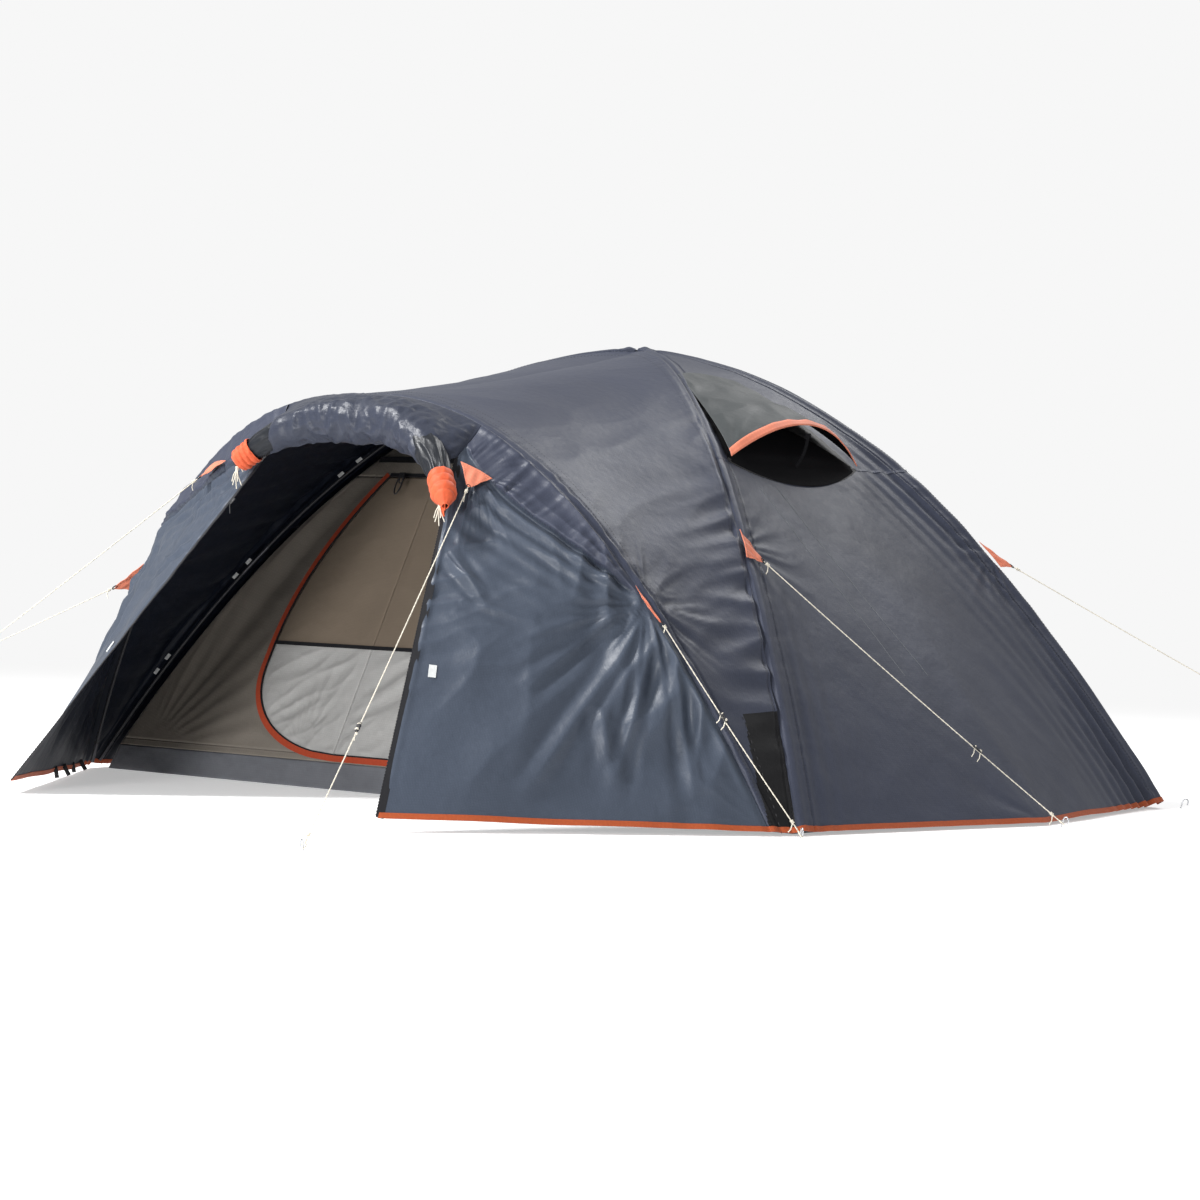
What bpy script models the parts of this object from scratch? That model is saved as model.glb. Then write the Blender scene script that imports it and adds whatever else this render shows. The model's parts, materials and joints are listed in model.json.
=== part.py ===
"""Three-pole dome tent with a porch: poles, fly, vents, guylines, pegs and an inner tent with a folding door.

Metres, +Z up. The origin is on the ground, under the middle of the sleeping floor.
The porch and the doors face -Y, and +X is the tent's right side.
"""

from math import atan2, cos, pi, radians, sin, sqrt, tan

import bmesh
import bpy
from mathutils import Matrix, Vector

# Driving dimensions
HEIGHT = 1.30                # top of the fly
HALF_WIDTH = 1.283           # main pole feet, across
HALF_DEPTH = 0.946           # main pole feet, front to back
PORCH_HALF_WIDTH = 1.243     # porch pole feet, across
PORCH_HEIGHT = 1.10
PORCH_FOOT_GAP = 0.059       # porch pole feet ahead of the front corners
PORCH_LEAN = radians(11.06)  # porch pole leans forward
PORCH_ROUNDNESS = 2.37       # above 2 the porch arch has a flatter top and steeper sides
HEM_HEIGHT = 0.012
SIDE_FLARE = 0.17            # side hem is pegged out at its middle
BACK_FLARE = 0.08
PANEL_DIP = 0.03             # fabric hollows in between two poles
ROOF_SAG = 0.025
PANEL_COLUMNS = 8
TOP_RING = 0.08              # reach of the first ring below the top
CUT_DEPTH = 0.12

MERGE_DISTANCE = 0.00005
FABRIC = 0.0012
SEAM_GAP = 0.003
POLE_RADIUS = 0.0045
FERRULE_RADIUS = 0.0058
POLE_INSET = 0.022           # pole centre inside the fly
POLE_CROSSING = 0.013        # one main pole passes under the other
POLE_SECTIONS = 7
POLE_POINTS = POLE_SECTIONS * 6 + 1
FERRULE_SHARE = 0.09         # half a ferrule's length, as a share of a section
POLE_TIP = 0.995             # poles end just short of the ground line

ZIP_TOP_X = {1: 0.42, -1: 0.26}   # by side: the left zip starts nearer the middle
ZIP_TOP_Y = -1.30
ZIP_TOP_HEIGHT = 0.93
ZIP_FOOT = Vector((0.654, -1.824, 0.035))
ROLL_RADIUS = 0.052
ROLL_END_RADIUS = 0.030
ROLL_MIDDLE = 0.10           # the roll is off centre, between the two zip tops
ROLL_HALF_LENGTH = 0.40
TIE_INNER_RADIUS = 0.0385
TIE_OUTER_RADIUS = 0.0405
TIE_HALF_WIDTH = 0.020
TIE_PLACE = 0.93             # along the roll, from its middle to its end
SLIDER_WIDTH = 0.012
SLIDER_LENGTH = 0.016
SLIDER_THICKNESS = 0.005
SLIDER_PARKED = 0.16         # below the top of the zip

INNER_INSET = 0.050
TUB_HEIGHT = 0.075
SEAM_HEIGHT = 0.95           # cross seam above the inner door
DOOR_TOP = 0.90
DOOR_BOTTOM = 0.095
DOOR_HINGE_X = 0.40
DOOR_FREE_X = -0.74
DOOR_STRIPS = ("inner_door_hinge_side", "inner_door_middle", "inner_door_free_side")
DOOR_FOLD_GAP = 0.0035       # half the slot at each fold
DOOR_EDGE_GAP = 0.002
DOOR_TOP_NARROWING = 0.65
DOOR_BULGE_SHARE = 0.35      # the door is widest at this share of its height
DOOR_CORNER_SHARE = 0.30     # height of its rounded foot corner
DOOR_CORNER_WIDTH = 0.52
HOOK_X = -0.46
HOOK_STANDOFF = 0.036
HOOK_HALF_WIDTH = 0.011
HOOK_HALF_HEIGHT = 0.016
HOOK_DROP = 0.030            # from the hook's top to its middle
HOOK_WIRE_RADIUS = 0.0022

VENT_HEIGHT = 0.965
VENT_MIDDLE = -0.09
VENT_HALF_WIDTH = 0.33
VENT_SILL_DEPTH = 0.075
VENT_TOP_RISE = 0.05
HOOD_DEPTH = 0.11
HOOD_OPEN_ANGLE = radians(115)
HOOD_LIFT = 0.012            # hood hinge line stands off the fly
HOOD_END_GAP = 0.012
HOOD_THICKNESS = 0.0016
VENT_MESH_GAP = 0.0015
PROP_RADIUS = 0.003
PROP_FOOT_DROP = 0.014        # prop foot below the hood's hinge line

CORD_RADIUS = 0.0015
RUNNER_LENGTH = 0.028
RUNNER_RADIUS = 0.0055
PEG_RADIUS = 0.002
PEG_LENGTH = 0.17
PEG_HEAD = 0.03
PEG_HOOK_RADIUS = 0.008
PEG_GRIP = 0.012             # height at which the cord meets the peg
PEG_LEAN = radians(15)
TAB_LENGTH = 0.07
TAB_HALF_BASE = 0.042
TAB_STANDOFF = 0.008
TAB_TO_CORD = 0.006
FRONT_TAB = {1: (0.11, 0.45), -1: (0.25, 0.75)}   # by side: shares down and outward on a front panel
PORCH_TAB_SPOT = 0.735
LEG_TAB_REACH = 0.665
CORNER_PEG = Vector((1.33, 1.00, 0))
RUNNER_SHARE = {"front": 0.70, "porch": 0.45, "middle": 0.72, "back": 0.60}

SIDES = {"right": 1, "left": -1}
COLOURS = {
    "fly": ((0.055, 0.065, 0.085), 0.45, 0.0),
    "pole": ((0.04, 0.04, 0.045), 0.35, 0.0),
    "coral_tape": ((0.83, 0.20, 0.10), 0.6, 0.0),
    "inner_fabric": ((0.17, 0.15, 0.13), 0.8, 0.0),
    "door_fabric": ((0.35, 0.33, 0.31), 0.7, 0.0),
    "tub_fabric": ((0.08, 0.09, 0.105), 0.55, 0.0),
    "mesh": ((0.015, 0.015, 0.018), 0.9, 0.0),
    "cord": ((0.72, 0.66, 0.54), 0.8, 0.0),
    "black_plastic": ((0.02, 0.02, 0.022), 0.4, 0.0),
    "steel": ((0.55, 0.56, 0.58), 0.3, 1.0),
}


# Collections, materials and shape helpers

def start_scene():
    for old in list(bpy.data.objects):
        bpy.data.objects.remove(old)
    for name in ("dome_tent", "cutters"):
        collection = bpy.data.collections.new(name)
        bpy.context.scene.collection.children.link(collection)


def material(name):
    if name in bpy.data.materials:
        return bpy.data.materials[name]
    made = bpy.data.materials.new(name)
    made.use_nodes = True
    colour, roughness, metallic = COLOURS[name]
    shader = made.node_tree.nodes["Principled BSDF"]
    shader.inputs["Base Color"].default_value = (*colour, 1.0)
    shader.inputs["Roughness"].default_value = roughness
    shader.inputs["Metallic"].default_value = metallic
    return made


def add_object(name, data, finish):
    made = bpy.data.objects.new(name, data)
    bpy.data.collections["dome_tent"].objects.link(made)
    data.materials.append(material(finish))
    return made


def thicken(fabric):
    """Gives an open sheet its thickness, behind its outer face."""
    thickness = fabric.modifiers.new("thickness", "SOLIDIFY")
    thickness.thickness = FABRIC
    thickness.offset = -1
    thickness.use_even_offset = True


def sheet(name, rows, finish, tip=None):
    """Fabric sheet: a grid of points, outer face up, thickened inwards. A tip closes the first row."""
    mesh = bpy.data.meshes.new(name)
    grid = bmesh.new()
    made_rows = [[grid.verts.new(point) for point in row] for row in rows]
    for upper, lower in zip(made_rows, made_rows[1:]):
        for left, right, below_left, below_right in zip(upper, upper[1:], lower, lower[1:]):
            grid.faces.new((left, below_left, below_right, right))
    if tip is not None:
        tip_vertex = grid.verts.new(tip)
        for left, right in zip(made_rows[0], made_rows[0][1:]):
            grid.faces.new((tip_vertex, left, right))
    bmesh.ops.remove_doubles(grid, verts=grid.verts, dist=MERGE_DISTANCE)
    bmesh.ops.recalc_face_normals(grid, faces=grid.faces)
    middle = Vector((0, 0, HEIGHT / 4))
    outwards = sum(face.normal.dot(face.calc_center_median() - middle) for face in grid.faces)
    if outwards < 0:
        bmesh.ops.reverse_faces(grid, faces=grid.faces)
    grid.to_mesh(mesh)
    grid.free()
    mesh.shade_smooth()
    made = add_object(name, mesh, finish)
    thicken(made)
    return made


def frame_matrix(origin, across, up):
    """Matrix with local X along across, local Y close to up, local Z their normal."""
    x_axis = Vector(across).normalized()
    z_axis = x_axis.cross(Vector(up)).normalized()
    y_axis = z_axis.cross(x_axis)
    turned = Matrix((x_axis, y_axis, z_axis)).transposed().to_4x4()
    return Matrix.Translation(origin) @ turned


def plate(name, outline, thickness, matrix, finish):
    """Flat plate: a closed 2D outline in the matrix's XY plane."""
    curve = bpy.data.curves.new(name, "CURVE")
    curve.dimensions = "2D"
    curve.fill_mode = "BOTH"
    curve.extrude = thickness / 2
    spline = curve.splines.new("POLY")
    spline.points.add(len(outline) - 1)
    for point, (x, y) in zip(spline.points, outline):
        point.co = (x, y, 0, 1)
    spline.use_cyclic_u = True
    made = add_object(name, curve, finish)
    made.matrix_world = matrix
    return made


def tube(name, points, radius, finish, scales=None):
    """Round rod or cord along points, with an optional radius factor at each."""
    curve = bpy.data.curves.new(name, "CURVE")
    curve.dimensions = "3D"
    curve.bevel_depth = radius
    curve.bevel_resolution = 2
    curve.use_fill_caps = True
    spline = curve.splines.new("POLY")
    spline.points.add(len(points) - 1)
    for index, (point, place) in enumerate(zip(spline.points, points)):
        point.co = (*place, 1)
        point.radius = scales[index] if scales else 1
    return add_object(name, curve, finish)


def turned(name, profile, steps, finish):
    """Turned shape: a closed profile of (radius, height) swept about local Z."""
    mesh = bpy.data.meshes.new(name)
    ring = bmesh.new()
    corners = [ring.verts.new((radius, 0, height)) for radius, height in profile]
    for first, second in zip(corners, corners[1:] + corners[:1]):
        ring.edges.new((first, second))
    ring.to_mesh(mesh)
    ring.free()
    made = add_object(name, mesh, finish)
    screw = made.modifiers.new("turn", "SCREW")
    screw.steps = steps
    screw.render_steps = steps
    screw.use_merge_vertices = True
    screw.merge_threshold = MERGE_DISTANCE
    return made


def cutter(name, outline, depth, matrix):
    """Prism used only to cut, as a mesh."""
    shape = plate(name + "_outline", outline, depth, matrix, "steel")
    bpy.context.view_layer.update()
    evaluated = shape.evaluated_get(bpy.context.evaluated_depsgraph_get())
    mesh = bpy.data.meshes.new_from_object(evaluated)
    solid = bmesh.new()
    solid.from_mesh(mesh)
    bmesh.ops.remove_doubles(solid, verts=solid.verts, dist=MERGE_DISTANCE)
    bmesh.ops.recalc_face_normals(solid, faces=solid.faces)
    solid.to_mesh(mesh)
    solid.free()
    made = bpy.data.objects.new(name, mesh)
    made.matrix_world = shape.matrix_world
    bpy.data.objects.remove(shape)
    bpy.data.collections["cutters"].objects.link(made)
    made.hide_render = True
    made.display_type = "WIRE"
    return made


def cut(target, tool, operation="DIFFERENCE"):
    boolean = target.modifiers.new(tool.name, "BOOLEAN")
    boolean.operation = operation
    boolean.object = tool


def carry_on_joint(name, matrix, piece):
    """Puts an empty on a joint's axis and makes it the piece's parent."""
    place = piece.matrix_world.copy()
    joint = bpy.data.objects.new(name, None)
    bpy.data.collections["dome_tent"].objects.link(joint)
    joint.matrix_world = matrix
    piece.parent = joint
    piece.matrix_world = place


def aligned(place, direction):
    """Matrix at a place with its local Z along a direction."""
    return Matrix.Translation(place) @ direction.to_track_quat("Z", "Y").to_matrix().to_4x4()


def steps_between(low, high, count):
    return [low + (high - low) * index / (count - 1) for index in range(count)]


# Tent surfaces

def leg(x_sign, y_sign, reach, inset=0.0, drop=0.0):
    """Point on a main arch: reach is 0 at the top and 1 at the foot."""
    span = sqrt(HALF_WIDTH ** 2 + HALF_DEPTH ** 2)
    shrink = 1 - inset / span
    rise = HEIGHT - inset - drop - HEM_HEIGHT
    return Vector((
        x_sign * HALF_WIDTH * shrink * reach,
        y_sign * HALF_DEPTH * shrink * reach,
        HEM_HEIGHT + rise * (1 - reach ** 2),
    ))


def reach_at(height, inset=0.0):
    rise = HEIGHT - inset - HEM_HEIGHT
    return sqrt(1 - (height - HEM_HEIGHT) / rise)


def porch_arch(across, inset=0.0):
    """Point on the porch arch: across runs from -1 at the left foot to 1 at the right foot."""
    height = HEM_HEIGHT + (PORCH_HEIGHT - inset - HEM_HEIGHT) * (1 - abs(across) ** PORCH_ROUNDNESS)
    x = (PORCH_HALF_WIDTH - inset) * across
    y = -HALF_DEPTH - PORCH_FOOT_GAP - tan(PORCH_LEAN) * height
    return Vector((x, y, height))


def dip_share(reach):
    return sin(pi * min(1.0, reach)) ** 2


def flare_share(reach):
    return max(0.0, (reach - 0.55) / 0.45) ** 2


def side_wall(side, reach, across, inset=0.0, flare=SIDE_FLARE):
    """Side panel between its two main poles: across runs from -1 at the front to 1 at the back."""
    front = leg(side, -1, reach, inset)
    back = leg(side, 1, reach, inset)
    point = front.lerp(back, (across + 1) / 2)
    hollow = PANEL_DIP * (1 - across ** 2) * dip_share(reach)
    pegged_out = flare * (1 - abs(across)) * flare_share(reach)
    point.x += side * (pegged_out - hollow)
    return point


def back_wall(reach, across, inset=0.0, flare=BACK_FLARE):
    """Back panel: across runs from -1 at the right to 1 at the left."""
    right = leg(1, 1, reach, inset)
    left = leg(-1, 1, reach, inset)
    point = right.lerp(left, (across + 1) / 2)
    hollow = PANEL_DIP * (1 - across ** 2) * dip_share(reach)
    pegged_out = flare * (1 - across ** 2) * flare_share(reach)
    point.y += pegged_out - hollow
    return point


def inner_slope():
    """Foot and top of the flat front wall of the inner tent, as (y, z)."""
    foot = leg(1, -1, reach_at(TUB_HEIGHT, INNER_INSET), INNER_INSET)
    top = leg(1, -1, reach_at(SEAM_HEIGHT, INNER_INSET), INNER_INSET)
    return Vector((0, foot.y, foot.z)), Vector((0, top.y, top.z))


def inner_front(reach, across):
    """Front wall of the inner tent, drawn flat where the door is."""
    left = leg(-1, -1, reach, INNER_INSET)
    right = leg(1, -1, reach, INNER_INSET)
    point = left.lerp(right, (across + 1) / 2)
    foot, top = inner_slope()
    flat_y = foot.y + (top.y - foot.y) * (point.z - foot.z) / (top.z - foot.z)
    edge = min(1.0, max(0.0, (1 - abs(across)) / 0.12))
    flatness = edge * edge * (3 - 2 * edge)
    point.y += flatness * max(0.0, flat_y - point.y)
    return point


# Poles

def ferrule_scales(count):
    """Radius factors along a rod with a ferrule at each section joint."""
    scales = []
    for index in range(count):
        place = index / (count - 1) * POLE_SECTIONS
        near = abs(place - round(place))
        inside = 0 < round(place) < POLE_SECTIONS
        is_ferrule = inside and near < FERRULE_SHARE
        scales.append(FERRULE_RADIUS / POLE_RADIUS if is_ferrule else 1)
    return scales


def build_poles():
    spots = steps_between(-POLE_TIP, POLE_TIP, POLE_POINTS)
    for name, depth_sign, drop in (("main_pole_over", 1, 0), ("main_pole_under", -1, POLE_CROSSING)):
        path = []
        for spot in spots:
            point = leg(1, depth_sign, abs(spot), POLE_INSET, drop)
            if spot < 0:
                point.x = -point.x
                point.y = -point.y
            path.append(point)
        tube(name, path, POLE_RADIUS, "pole", scales=ferrule_scales(POLE_POINTS))
    path = [porch_arch(spot, POLE_INSET) + Vector((0, POLE_INSET / 2, 0)) for spot in spots]
    tube("porch_pole", path, POLE_RADIUS, "pole", scales=ferrule_scales(POLE_POINTS))


# Fly

def seam_shift(point, toward, distance):
    """Moves a panel's edge point off the seam, towards its own panel."""
    direction = Vector(toward) - point
    if direction.length < distance * 2:
        return point + direction / 2
    return point + direction.normalized() * distance


def dome_row(reach):
    """One ring of the dome fly, from the front right seam round the back to the front left seam."""
    spots = steps_between(-1, 1, PANEL_COLUMNS + 1)
    right = [side_wall(1, reach, spot) for spot in spots]
    back = [back_wall(reach, spot) for spot in spots]
    left = [side_wall(-1, reach, spot) for spot in reversed(spots)]
    row = right + back[1:] + left[1:]
    row[0] = seam_shift(row[0], row[1], SEAM_GAP)
    row[-1] = seam_shift(row[-1], row[-2], SEAM_GAP)
    return row


def build_dome_fly():
    rows = [dome_row(reach) for reach in steps_between(TOP_RING, 1, 13)]
    dome = sheet("fly_dome", rows, "fly", tip=Vector((0, SEAM_GAP, HEIGHT)))
    for side_name, side in SIDES.items():
        tool = cutter("vent_cut_" + side_name, vent_outline(0), CUT_DEPTH, vent_matrix(side))
        cut(dome, tool)


def porch_roof_point(across, forward):
    """Roof between the dome's front seams (forward 0) and the porch arch (forward 1)."""
    sign = 1 if across >= 0 else -1
    seam = leg(sign, -1, abs(across))
    arch = porch_arch(across)
    point = seam.lerp(arch, forward)
    outward = Vector((across, 0, 1 - across ** 2)).normalized()
    sag = ROOF_SAG * 4 * forward * (1 - forward) * cos(across * pi / 2)
    return point - outward * sag


def build_porch_roof():
    spots = steps_between(-1, 1, 25)
    rows = [[porch_roof_point(across, forward) for across in spots] for forward in steps_between(0, 1, 7)]
    rows[0] = [seam_shift(point, ahead, SEAM_GAP) for point, ahead in zip(rows[0], rows[1])]
    rows[-1] = [seam_shift(point, behind, SEAM_GAP) for point, behind in zip(rows[-1], rows[-2])]
    sheet("fly_porch_roof", rows, "fly")


def zip_top(side):
    """Top of a fly zip, as if it were on the right."""
    return Vector((ZIP_TOP_X[side], ZIP_TOP_Y, ZIP_TOP_HEIGHT))


def front_panel_point(side, down, outward):
    """Front panel: down runs along the zip edge, outward from the zip edge to the porch arch."""
    zip_point = zip_top(side).lerp(ZIP_FOOT, down)
    start = ZIP_TOP_X[side] / PORCH_HALF_WIDTH
    arch_point = porch_arch(start + (1 - start) * down)
    point = zip_point.lerp(arch_point, outward)
    point.x *= side
    return point


def build_front_panels():
    for side_name, side in SIDES.items():
        rows = []
        for down in steps_between(0, 1, 11):
            row = [front_panel_point(side, down, outward) for outward in steps_between(0, 1, 7)]
            row[-1] = seam_shift(row[-1], row[-2], SEAM_GAP)
            rows.append(row)
        sheet("fly_front_" + side_name, rows, "fly")


def roll_point(spot):
    """Centre of the rolled fly door, spot from -1 to 1 along its length."""
    x = ROLL_MIDDLE + ROLL_HALF_LENGTH * spot
    arch = porch_arch(x / PORCH_HALF_WIDTH)
    ahead = ROLL_RADIUS + 0.01 + (0.14 + 0.04 * spot) * spot ** 2
    below = ROLL_RADIUS + 0.025 + 0.085 * abs(spot) ** 3
    return Vector((x, arch.y - ahead, arch.z - below))


def build_rolled_door():
    spots = steps_between(-1, 1, 13)
    scales = [1 - (1 - ROLL_END_RADIUS / ROLL_RADIUS) * spot ** 2 for spot in spots]
    tube("rolled_fly_door", [roll_point(spot) for spot in spots], ROLL_RADIUS, "fly", scales=scales)
    for side_name, side in SIDES.items():
        build_roll_tie(side_name, side)


def build_roll_tie(side_name, side):
    """Fabric cuff around one end of the roll."""
    place = roll_point(side * TIE_PLACE)
    along = roll_point(side * (TIE_PLACE + 0.06)) - roll_point(side * (TIE_PLACE - 0.06))
    profile = [
        (TIE_OUTER_RADIUS, TIE_HALF_WIDTH),
        (TIE_OUTER_RADIUS, -TIE_HALF_WIDTH),
        (TIE_INNER_RADIUS, -TIE_HALF_WIDTH),
        (TIE_INNER_RADIUS, TIE_HALF_WIDTH),
    ]
    tie = turned("roll_tie_" + side_name, profile, 20, "coral_tape")
    tie.matrix_world = aligned(place, along)


def build_zip_sliders():
    """Slider of each fly door zip, parked at the top of its straight track."""
    for side_name, side in SIDES.items():
        track = (ZIP_FOOT - zip_top(side)).normalized()
        place = zip_top(side) + track * SLIDER_PARKED + Vector((-SLIDER_WIDTH, -0.004, 0))
        place.x *= side
        track.x *= side
        half_width = SLIDER_WIDTH / 2
        half_length = SLIDER_LENGTH / 2
        outline = [
            (-half_width, -half_length),
            (half_width, -half_length),
            (half_width, half_length),
            (-half_width, half_length),
        ]
        turn = frame_matrix(place, (side, 0, 0), -track)
        plate("fly_zip_slider_" + side_name, outline, SLIDER_THICKNESS, turn, "black_plastic")


# Side vents

def vent_matrix(side):
    """Frame of a side vent, on the line between its two corners: X down the slope, Z out of the panel."""
    reach = reach_at(VENT_HEIGHT)
    half_width = HALF_DEPTH * reach
    front = side_wall(side, reach, (VENT_MIDDLE - VENT_HALF_WIDTH) / half_width)
    back = side_wall(side, reach, (VENT_MIDDLE + VENT_HALF_WIDTH) / half_width)
    slope = side_wall(side, reach + 0.02, 0) - side_wall(side, reach - 0.02, 0)
    backwards = (back - front).normalized() * side
    outward = slope.cross(backwards).normalized()
    down = backwards.cross(outward)
    turned_axes = Matrix((down, backwards, outward)).transposed().to_4x4()
    return Matrix.Translation((front + back) / 2) @ turned_axes


def vent_outline(trim):
    """Lens-shaped window: a deep sill arc below and a shallow arc above."""
    half = VENT_HALF_WIDTH - trim * 3
    spots = steps_between(-1, 1, 11)
    sill = [((VENT_SILL_DEPTH - trim) * (1 - s * s), half * s) for s in spots]
    top = [(-(VENT_TOP_RISE - trim) * (1 - s * s), half * s) for s in reversed(spots[1:-1])]
    return sill + top


def build_vents():
    for side_name, side in SIDES.items():
        matrix = vent_matrix(side)
        hinge = matrix @ Matrix.Translation((0, 0, HOOD_LIFT))
        opened = hinge @ Matrix.Rotation(-HOOD_OPEN_ANGLE, 4, "Y")
        build_vent_mesh(side_name, side, matrix)
        build_vent_hood(side_name, hinge, opened)
        build_vent_prop(side_name, matrix, opened)


def build_vent_hood(side_name, hinge, opened):
    """Hood flap, hinged on the line between the window's corners."""
    half = VENT_HALF_WIDTH - HOOD_END_GAP
    arc = [(0.003 + HOOD_DEPTH * (1 - s * s), half * s) for s in steps_between(-1, 1, 11)]
    hood = plate("vent_hood_" + side_name, arc, HOOD_THICKNESS, opened, "fly")
    carry_on_joint("hood_hinge_" + side_name, hinge, hood)


def build_vent_mesh(side_name, side, matrix):
    reach = reach_at(VENT_HEIGHT)
    rows = []
    for step in steps_between(reach - 0.09, reach + 0.09, 5):
        row = [side_wall(side, step, across) for across in steps_between(-0.95, 0.75, 9)]
        rows.append(row)
    patch = sheet("vent_mesh_" + side_name, rows, "mesh")
    trim = cutter("vent_mesh_trim_" + side_name, vent_outline(VENT_MESH_GAP), CUT_DEPTH, matrix)
    cut(patch, trim, "INTERSECT")


def vent_prop_ends(matrix, opened):
    """Foot on the window just below the hinge line, and head under the hood lip."""
    foot = matrix @ Vector((PROP_FOOT_DROP, 0, 0.006))
    head = opened @ Vector((HOOD_DEPTH * 0.8, 0, -0.006))
    return foot, head


def build_vent_prop(side_name, matrix, opened):
    foot, head = vent_prop_ends(matrix, opened)
    prop = tube("vent_prop_" + side_name, [(0, 0, 0), foot - head], PROP_RADIUS, "black_plastic")
    prop.location = head


# Guylines, tabs, runners and pegs

def guy_anchors():
    """Each guyline: seam point, direction along the seam, and the peg it runs to."""
    anchors = {}
    for side_name, side in SIDES.items():
        down, outward = FRONT_TAB[side]
        seam = front_panel_point(side, down, outward)
        along = front_panel_point(side, down + 0.08, outward + 0.18) - seam
        anchors["front_" + side_name] = (seam, along, Vector((side * 0.9, -2.35, 0)))
        spot = PORCH_TAB_SPOT * side
        peg = Vector((CORNER_PEG.x, -CORNER_PEG.y, 0)) if side > 0 else Vector((-1.85, -1.80, 0))
        anchors["porch_" + side_name] = (
            porch_arch(spot), porch_arch(spot + 0.02 * side) - porch_arch(spot), peg)
        for name, depth_sign, peg in (("middle_", -1, (1.50, 0)), ("back_", 1, (1.90, 1.60))):
            seam = leg(side, depth_sign, LEG_TAB_REACH)
            along = leg(side, depth_sign, LEG_TAB_REACH + 0.02) - seam
            anchors[name + side_name] = (seam, along, Vector((side * peg[0], peg[1], 0)))
    return anchors


def build_guylines():
    for name, (seam, along, peg_foot) in guy_anchors().items():
        peg_top = peg_foot + Vector((0, 0, PEG_GRIP))
        pull = (peg_top - seam).normalized()
        out = Vector((seam.x, seam.y + 0.2, 0.35)).normalized() * TAB_STANDOFF
        base = seam + out
        tip = base + pull * TAB_LENGTH + out / 2
        build_tab(name, base, along, tip)
        direction = (peg_top - tip).normalized()
        start = tip + direction * TAB_TO_CORD
        end = peg_top - direction * (PEG_RADIUS + 0.004)
        tube("guyline_" + name, [start, end], CORD_RADIUS, "cord")
        build_runner(name, start.lerp(end, RUNNER_SHARE[name.split("_")[0]]), direction)


def build_tab(name, base, along, tip):
    """Triangular tab: its base lies along the seam and its tip takes the cord."""
    along = along.normalized()
    matrix = frame_matrix(base, along, tip - base)
    local_tip = matrix.inverted() @ tip
    outline = [
        (-TAB_HALF_BASE, 0),
        (TAB_HALF_BASE, 0),
        (local_tip.x + 0.004, local_tip.y),
        (local_tip.x - 0.004, local_tip.y),
    ]
    plate("guy_tab_" + name, outline, FABRIC, matrix, "coral_tape")


def build_runner(name, place, direction):
    half = RUNNER_LENGTH / 2
    bore = CORD_RADIUS + 0.0008
    profile = [(RUNNER_RADIUS, half), (RUNNER_RADIUS, -half), (bore, -half), (bore, half)]
    runner = turned("runner_" + name, profile, 10, "black_plastic")
    runner.matrix_world = aligned(place, direction)


def peg_feet():
    """Ground point of every peg."""
    feet = {"guy_" + name: foot for name, (_, _, foot) in guy_anchors().items()}
    feet["corner_front_right"] = feet.pop("guy_porch_right")
    feet["side_right"] = feet.pop("guy_middle_right")
    feet["side_left"] = feet.pop("guy_middle_left")
    feet["corner_front_left"] = Vector((-CORNER_PEG.x, -CORNER_PEG.y, 0))
    feet["corner_back_right"] = CORNER_PEG
    feet["corner_back_left"] = Vector((-CORNER_PEG.x, CORNER_PEG.y, 0))
    return feet


def build_pegs():
    for name, foot in peg_feet().items():
        outward = atan2(foot.y, foot.x)
        neck = PEG_HEAD - PEG_HOOK_RADIUS
        points = [Vector((0, 0, -PEG_LENGTH)), Vector((0, 0, neck))]
        for turn in steps_between(pi * 3 / 4, 0, 4):
            across = PEG_HOOK_RADIUS * (1 + cos(turn))
            points.append(Vector((across, 0, neck + PEG_HOOK_RADIUS * sin(turn))))
        points.append(Vector((2 * PEG_HOOK_RADIUS, 0, neck - PEG_HOOK_RADIUS)))
        peg = tube("peg_" + name, points, PEG_RADIUS, "steel")
        peg.location = foot
        peg.rotation_euler = (0, PEG_LEAN, outward)


# Inner tent

def door_matrix():
    """Frame in the inner front wall: X to the tent's right, Y up the slope, Z out of the wall."""
    foot, top = inner_slope()
    return frame_matrix(foot, (1, 0, 0), top - foot)


def slope_length(height):
    foot, top = inner_slope()
    return (height - foot.z) * (top - foot).length / (top.z - foot.z)


def door_edge(height):
    """Free edge of the D-shaped door: x at a height, bulging low down and rounded at the foot."""
    share = (height - DOOR_BOTTOM) / (DOOR_TOP - DOOR_BOTTOM)
    narrowing = DOOR_TOP_NARROWING * max(0.0, share - DOOR_BULGE_SHARE) ** 2
    below_corner = max(0.0, 1 - share / DOOR_CORNER_SHARE)
    rounding = 1 - sqrt(max(0.0, 1 - below_corner ** 2.2))
    return DOOR_FREE_X * (1 - narrowing) * (1 - DOOR_CORNER_WIDTH * rounding)


def door_outline(low_x, high_x, trim):
    """Outline of the door between two x values, in the door's own frame."""
    low = DOOR_BOTTOM + trim
    high = DOOR_TOP - trim
    points = [(high_x, slope_length(low))]
    for turn in steps_between(0, pi / 2, 13):
        height = low + (high - low) * (1 - cos(turn))
        x = min(high_x, max(low_x, door_edge(height - trim) + trim))
        points.append((x, slope_length(height)))
    points.append((high_x, slope_length(high)))
    kept = [points[0]]
    for point in points[1:]:
        if (Vector(point) - Vector(kept[-1])).length > MERGE_DISTANCE * 10:
            kept.append(point)
    return kept


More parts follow.
